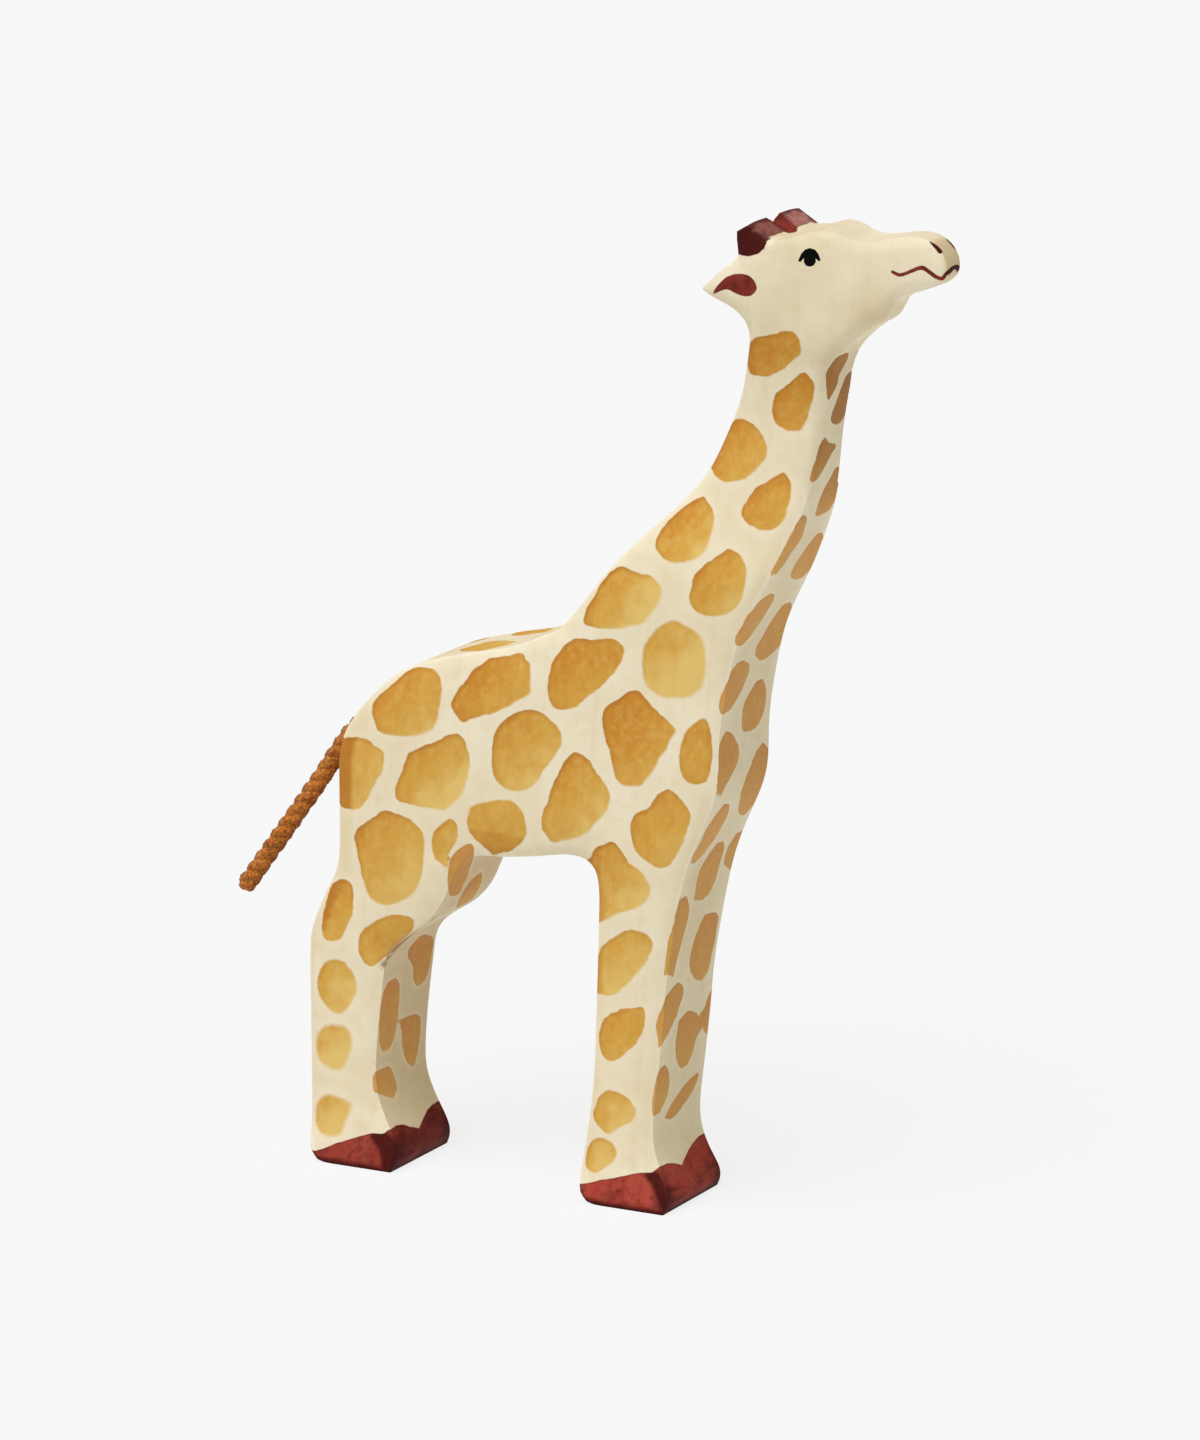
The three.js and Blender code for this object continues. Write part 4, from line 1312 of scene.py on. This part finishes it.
    def reds(self) -> None:
        """Lays the dark red of the hooves, horns, ears, mouth and nostrils, with painted shade on the hind
        hooves' fronts and a painted reflection on the horns' front slopes.
        """
        x, y, z = self.places.T
        ahead, sideways = self.normals[:, 0], np.abs(self.normals[:, 1])
        feet = z < self.hoof_top
        edge = np.min([self.hoof_line(hoof) for hoof in HOOVES.values()], 0)
        pool = np.min([self.laid_twice(self.patch(hoof.pool), self.wrap) for hoof in HOOVES.values()], 0)
        pool = np.where(feet, np.minimum(pool, z - 0.9), pool)
        # The hind hooves are darker, and darkest on their front faces as a painted shade
        hind = feet & (x < self.hind_front)
        pool_behind = np.where(hind, 0.56 - 0.44 * np.clip(ahead, 0, 1), self.far)

        horns = self.horn_foot()
        on_horns = horns < 0.5
        slope = on_horns & (x > self.horn_ridge - 0.4) & (sideways < 0.6)
        notch = slope & (np.abs(y) < self.horn_notch)
        pool = np.where(on_horns, -1.0 - 1.5 * np.clip(sideways - 0.5, 0, 1), pool)
        # Painted reflection: the horns' front slopes are lighter and paler, the far one more, and the notch
        # between them darker
        pool = np.where(slope, 0.55 + 0.35 * np.sign(y), pool)
        pool = np.minimum(np.where(notch, 0.15, pool), pool_behind)
        dry = np.where(slope & ~notch, 0.7 + 0.3 * np.sign(y), 0.0)

        ears = self.laid_twice(self.patch(EAR), self.wrap / 2)
        pool = np.where(ears < 1, np.clip(0.35 + ears * 0.2, -0.2, 0.35), pool)
        edge = np.minimum(np.minimum(edge, horns), ears)

        head = np.nonzero(z > self.head_foot)[0]
        strokes = ((MOUTH, self.line_width, (0.75, 1, 0.9), (1, -1)),
                   (NOSTRIL, self.nostril_width, (0.35, 0.9, 1.1), (1,)),
                   (FAR_NOSTRIL, self.nostril_width, (0.6, 0.9, 0.6), (1,)))
        for pixels, width, swell, sides in strokes:
            line = self.thrown(smooth_line(np.array(pixels, float)))[0]
            taper = np.interp(np.linspace(0, 1, len(line)), (0, 0.5, 1), swell)
            dark = -1.0 if pixels is not MOUTH else np.where(ahead[head] > 0.5, -0.6, 0.3)
            for side in sides:
                own = line * (1, side, 1)
                away = edge_distance(self.places[head], own, closed=False)
                nearest = np.linalg.norm(self.places[head][:, None] - own[None], axis=2).argmin(1)
                laid = away - taper[nearest] * width / 2
                edge[head] = np.minimum(edge[head], laid)
                pool[head] = np.where(laid < 0.5, dark, pool[head])
                dry[head] = np.where(laid < 0.5, 0.0, dry[head])
        self.values.update(red_edge=edge, red_pool=pool, red_dry=dry)

    def hoof_line(self, hoof: Hoof) -> np.ndarray:
        """How far each point of the wood lies above a pair of hooves' painted edge.

        Args:
            hoof: The pair of hooves.

        Returns:
            The heights, negative on the hooves.
        """
        x, _, z = self.places.T
        line = np.concatenate([self.thrown(hoof.side)[0], self.thrown(hoof.front)[0]])
        length, width = self.hoof_half
        turns, here = (np.arctan2(places[:, 1] / width, (places[:, 0] - hoof.middle) / length)
                       for places in (line, self.places))
        hidden = -turns > turns.max() + 0.5
        height = np.interp(here, np.concatenate([turns, -turns[hidden]]),
                           np.concatenate([line[:, 2], line[hidden, 2]]), period=2 * math.pi)
        near = (np.abs(x - hoof.middle) < self.hoof_length) & (z < self.hoof_top)
        return np.where(near, z - height, self.far)

    def horn_foot(self) -> np.ndarray:
        """How far each point of the wood lies below the horns' painted edge.

        Returns:
            The distances, negative on the horns.
        """
        foot = self.thrown(HORN_FOOT)[0][:, ::2]
        outline = [*foot, foot[-1] + (18, 6), foot[-1] + (18, 40), foot[0] + (-20, 40), foot[0] + (-20, 0)]
        return edge_distance(self.places[:, ::2], np.array(outline))

    def wear(self, mesh: bpy.types.Mesh) -> np.ndarray:
        """How sharply the wood stands out at each point.

        Args:
            mesh: The skin.

        Returns:
            About 1 on an arris and about -1 in a groove.
        """
        ends = np.empty(len(mesh.edges) * 2, int)
        mesh.edges.foreach_get("vertices", ends)
        ends = ends.reshape(-1, 2)
        run = self.places[ends[:, 1]] - self.places[ends[:, 0]]
        length = np.maximum(np.linalg.norm(run, axis=1), 1e-3)
        count = np.bincount(ends.ravel(), minlength=len(self.places))
        bend = np.zeros(len(self.places))
        for one, sign in ((0, 1), (1, -1)):
            slope = -sign * np.einsum("ij,ij->i", run, self.normals[ends[:, one]]) / length ** 2
            np.add.at(bend, ends[:, one], slope)
        bend /= np.maximum(count, 1)
        for _ in range(4):
            bend = (bend + neighbour_sum(bend, ends)) / (count + 1)
        return np.clip(bend / self.arris_bend, -1.5, 1.5)

    def tint(self) -> np.ndarray:
        """How much paler the wash is at each point, as painted light and shade, from -1 to 1.

        Returns:
            Above 0 for a painted highlight under the jaw and on the snout, and below 0 for a painted shade at
            the jaw's corner, the throat, the muzzle's end, the tops and the front faces.
        """
        x, _, z = self.places.T
        ahead, _, upward = self.normals.T
        head = ramp(z, self.head_foot + 6, self.head_foot + 14)
        jaw = 0.25 * head * np.clip(-2 * upward, 0, 1) - 0.8 * self.near_jaw(self.places, self.jaw_shade)
        jaw -= 0.4 * self.near_jaw(self.places + self.throat_offset, self.throat_shade)
        snout = 0.3 * head * ramp(x, 45, 60)
        end = ramp(x, 66.5, 68.5) * ramp(ahead, 0.3, 0.6)
        front = ramp(ahead, 0.4, 0.7) * np.where(x < -30, 0.5, 0.15)
        return np.clip(jaw + snout - 0.9 * end - front * (1 - head) - 0.35 * ramp(upward, 0.5, 1), -1, 1)

    def rear(self) -> np.ndarray:
        """How much painted shade each point gets on the rear faces, with the rump's arris strip among them.

        Returns:
            Values from 0 to 1.
        """
        x, _, z = self.places.T
        lowest, highest = self.rump_heights
        turned = ramp(-self.normals[:, 0], 0.25, 0.65)
        rump = (z > lowest) & (z < highest) & (x < self.rump_front)
        levels = self.levels()
        last = np.zeros(levels.max() + 1)
        np.minimum.at(last, levels[rump], x[rump])
        rim = last[levels] + self.strip_width
        return np.where(rump, np.maximum(turned, ramp(x, rim, rim - self.strip_blur)), turned)

    def belly_band(self) -> np.ndarray:
        """How far each point is in the painted shade band of a side spot below the belly's cut.

        Returns:
            Values from 0 to 1.
        """
        x, _, z = self.places.T
        cut = self.thrown(BELLY_CUT)[0]
        depth = np.interp(x, cut[:, 0], cut[:, 2], left=-self.far, right=-self.far) - z
        on_side = (self.values["front"] < 0.5) & (self.normals[:, 1] < 0)
        return ramp(depth, 0, 0.4) * (depth < 6) * (self.values["spot_edge"] < 0.5) * on_side

    def build(self) -> bpy.types.Object:
        """Makes the wooden body.

        Returns:
            The body.
        """
        work = self.skin()
        self.refine(work)
        bmesh.ops.recalc_face_normals(work, faces=work.faces)
        for face in work.faces:
            face.smooth = True
        self.tree = BVHTree.FromBMesh(work)
        piece = new_piece("wooden_body", work, self.finish.material())
        mesh = piece.data
        self.places, self.normals = np.empty((2, len(mesh.vertices) * 3))
        mesh.vertices.foreach_get("co", self.places)
        mesh.vertices.foreach_get("normal", self.normals)
        self.places = self.places.reshape(-1, 3) / MM
        self.normals = self.normals.reshape(-1, 3)
        self.paint_points(mesh)
        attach(piece, "root")
        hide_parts("carved_body")
        log.info("wooden body: %d faces", len(mesh.polygons))
        return piece

    def paint_points(self, mesh: bpy.types.Mesh) -> None:
        """Works out the paint at the skin's points and keeps it there.

        Args:
            mesh: The skin, which is given one attribute for each of the paint's values.
        """
        x, _, z = self.places.T
        self.spots()
        self.reds()
        # How sharply the wood stands out gives both wear and a painted highlight along the arrises, kept
        # faint on the brow
        worn = self.wear(mesh)
        brow = (z > self.head_foot) & ((x > self.horn_front) | (z < self.brow_top))
        # Painted shade: the front faces and the front spots take a shaded copy of the ochre, darker still
        # high on the neck's front
        front = np.maximum(ramp(self.normals[:, 0], 0.35, 0.65), self.values.pop("spot_dusty"))
        self.values.update(
            eye_edge=self.laid_twice(Patch(*self.thrown(EYE)), self.wrap),
            worn=np.where(brow, np.minimum(worn, 0.1 * worn), worn),
            tint=self.tint(),
            front=front,
            shade=front * ramp(z, *self.shaded_neck),
            crease=edge_distance(self.places, self.thrown(CREASE)[0], closed=False))
        # Painted shade on the rear faces, the rump's arris strip and the band below the belly's cut
        self.values["rear"] = np.maximum(self.rear(), 0.4 * self.belly_band())
        for name, value in self.values.items():
            mesh.attributes.new(name, "FLOAT", "POINT").data.foreach_set("value", value.astype(np.float32))


@dataclass
class CordTail:
    """The tail: three strands of yarn twisted into a cord, set in the rump. Lengths in metres."""

    finish: TailYarn
    diameter: float = 0.004
    start: tuple[float, float, float] = (-0.05784, 0.0, 0.10048)
    mouth: tuple[float, float, float] = (-0.06384, 0.0, 0.097285)
    route: tuple[tuple[float, float, float], ...] = (
        (-0.0693, 0.0, 0.092805), (-0.0774, 0.0, 0.081285), (-0.08674, 0.0, 0.068385),
        (-0.09614, 0.0, 0.055485))
    buried: float = 0.0068
    root_length: float = 0.004
    root_shrink: float = 0.15
    root_dusk: float = 0.9
    tip_length: float = 0.0009
    tip_size: float = 0.72
    strands: int = 3
    pitch: float = 0.0102
    strand_offset: float = 0.16
    strand_radius: float = 0.37
    fuzz: float = 0.07
    sides: int = 18
    ring_gap: float = 0.0004
    path_gap: float = 0.0026

    def middle(self, gap: float) -> np.ndarray:
        """Points along the cord's middle.

        Args:
            gap: About how far apart they are.

        Returns:
            The points, from the buried end to the free one.
        """
        fine = smooth_line(np.array((self.start, self.mouth, *self.route)), 40)
        way = lengths_along(fine)
        stops = np.linspace(0, way[-1], max(2, round(way[-1] / gap)) + 1)
        return np.stack([np.interp(stops, way, fine[:, axis]) for axis in range(3)], 1)

    def build(self) -> bpy.types.Object:
        """Makes the tail.

        Returns:
            The tail.
        """
        line = self.middle(self.ring_gap)
        way = lengths_along(line)
        steps = np.gradient(line, axis=0)
        steps /= np.linalg.norm(steps, axis=1)[:, None]
        root = ramp(way, self.buried + self.root_length, self.buried)
        tip = np.minimum(1, self.tip_size + (1 - self.tip_size) * np.sqrt((way[-1] - way) / self.tip_length))
        radii = self.strand_radius * self.diameter * tip * (1 - self.root_shrink * root)
        across = np.array((0.0, 1.0, 0.0))
        chance = np.random.default_rng(5)
        work = bmesh.new()
        groove = work.verts.layers.float.new("groove")
        dusk = work.verts.layers.float.new("dusk")
        for strand in range(self.strands):
            ring = bmesh.ops.create_circle(work, segments=self.sides, radius=1)["verts"]
            for k, (here, step) in enumerate(zip(line, steps)):
                ring = grow_ring(work, ring) if k > 0 else ring
                other = np.cross(step, across)
                phase = 2 * math.pi * (way[k] / self.pitch + strand / self.strands)
                radius = radii[k] * chance.uniform(0.98, 1.03)
                offset = self.strand_offset * self.diameter
                centre = here + offset * (math.cos(phase) * across + math.sin(phase) * other)
                for i, vertex in enumerate(ring):
                    turn = 2 * math.pi * i / self.sides
                    out = math.cos(turn + phase) * across + math.sin(turn + phase) * other
                    vertex.co = Vector(centre + out * radius * chance.uniform(1 - self.fuzz, 1 + self.fuzz))
                    # The strands' inner sides, where painted shade falls between them
                    vertex[groove] = max(0.0, 0.5 - math.cos(turn)) / 1.5
                    # Painted shade at the cord's rims seen from the side, and at its root in the hole
                    rim = (np.array(vertex.co) - here) @ other / (0.5 * self.diameter)
                    rim_dusk = max(0.0, abs(rim) - 0.7) * (1.1 if rim > 0 else 2.6)
                    vertex[dusk] = rim_dusk + self.root_dusk * root[k]
                if k in (0, len(line) - 1):
                    bmesh.ops.contextual_create(work, geom=ring)
        bmesh.ops.recalc_face_normals(work, faces=work.faces)
        for face in work.faces:
            face.smooth = len(face.verts) == 4
        piece = new_piece("yarn_tail", work, self.finish.material())
        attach(piece, "root")
        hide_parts("tail_cord")
        path = [tuple(float(v) for v in point) for point in self.middle(self.path_gap)]
        log.info("yarn tail: %.1f mm, %d faces", way[-1] / MM, len(piece.data.polygons))
        return piece


@dataclass
class Studio:
    """The floor, the lamp and the sky of the picture. Lengths in metres."""

    paper: StudioPaper
    floor_size: float = 40.0
    sky: float = 0.27
    sky_tint: Colour = (1.0, 0.93, 0.52)
    sun_tint: Colour = (1.0, 1.02, 1.16)
    seen_sky: float = 0.913
    sun: float = 2.85
    sun_spread: float = 55.0
    sun_from: tuple[float, float, float] = (-0.08, -0.42, 0.8)

    def build(self) -> bpy.types.Object:
        """Sets up the studio.

        Returns:
            Its floor.
        """
        work = bmesh.new()
        bmesh.ops.create_grid(work, x_segments=2, y_segments=2, size=self.floor_size / 2)
        floor = new_piece("studio_floor", work, self.paper.material())
        lamp = bpy.data.lights.new("soft_sun", "SUN")
        lamp.energy, lamp.angle = self.sun, math.radians(self.sun_spread)
        lamp.color = self.sun_tint
        sun = bpy.data.objects.new("soft_sun", lamp)
        sun.rotation_mode = "QUATERNION"
        sun.rotation_quaternion = (-Vector(self.sun_from)).to_track_quat("-Z", "Y")
        sun.location = Vector(self.sun_from) * 2
        bpy.context.scene.collection.objects.link(sun)
        self.light_sky()
        return floor

    def light_sky(self) -> None:
        """Gives the world an even light, and a paler one where the camera sees it."""
        world = bpy.data.worlds.new("studio_sky")
        world.use_nodes = True
        tree = world.node_tree
        tree.nodes.clear()
        out, sky, path, seen = (tree.nodes.new("ShaderNode" + kind)
                                for kind in ("OutputWorld", "Background", "LightPath", "Mix"))
        seen.data_type = "RGBA"
        seen.inputs[6].default_value = (*(self.sky * share for share in self.sky_tint), 1)
        seen.inputs[7].default_value = (self.seen_sky, self.seen_sky, self.seen_sky, 1)
        tree.links.new(path.outputs["Is Camera Ray"], seen.inputs[0])
        tree.links.new(seen.outputs[2], sky.inputs["Color"])
        tree.links.new(sky.outputs["Background"], out.inputs["Surface"])
        bpy.context.scene.world = world


def dress_glue(finish: SetGlue) -> None:
    """Gives the glue in the tail's hole its finish.

    Args:
        finish: The glue's finish.
    """
    node = frame["nodes"]["tail_glue"]
    node.data.materials.clear()
    node.data.materials.append(finish.material())
    log.info("glue: dressed")


def main() -> None:
    """Builds the picture's pieces in order."""
    logging.basicConfig(level=logging.INFO, format="%(name)s: %(message)s")
    bpy.context.scene.view_settings.view_transform = "Standard"
    camera = PhotoCamera()
    camera.build()
    CordTail(TailYarn()).build()
    CarvedBody(camera, PaintedWood()).build()
    dress_glue(SetGlue())
    Studio(StudioPaper()).build()


if __name__ == "__main__":
    main()
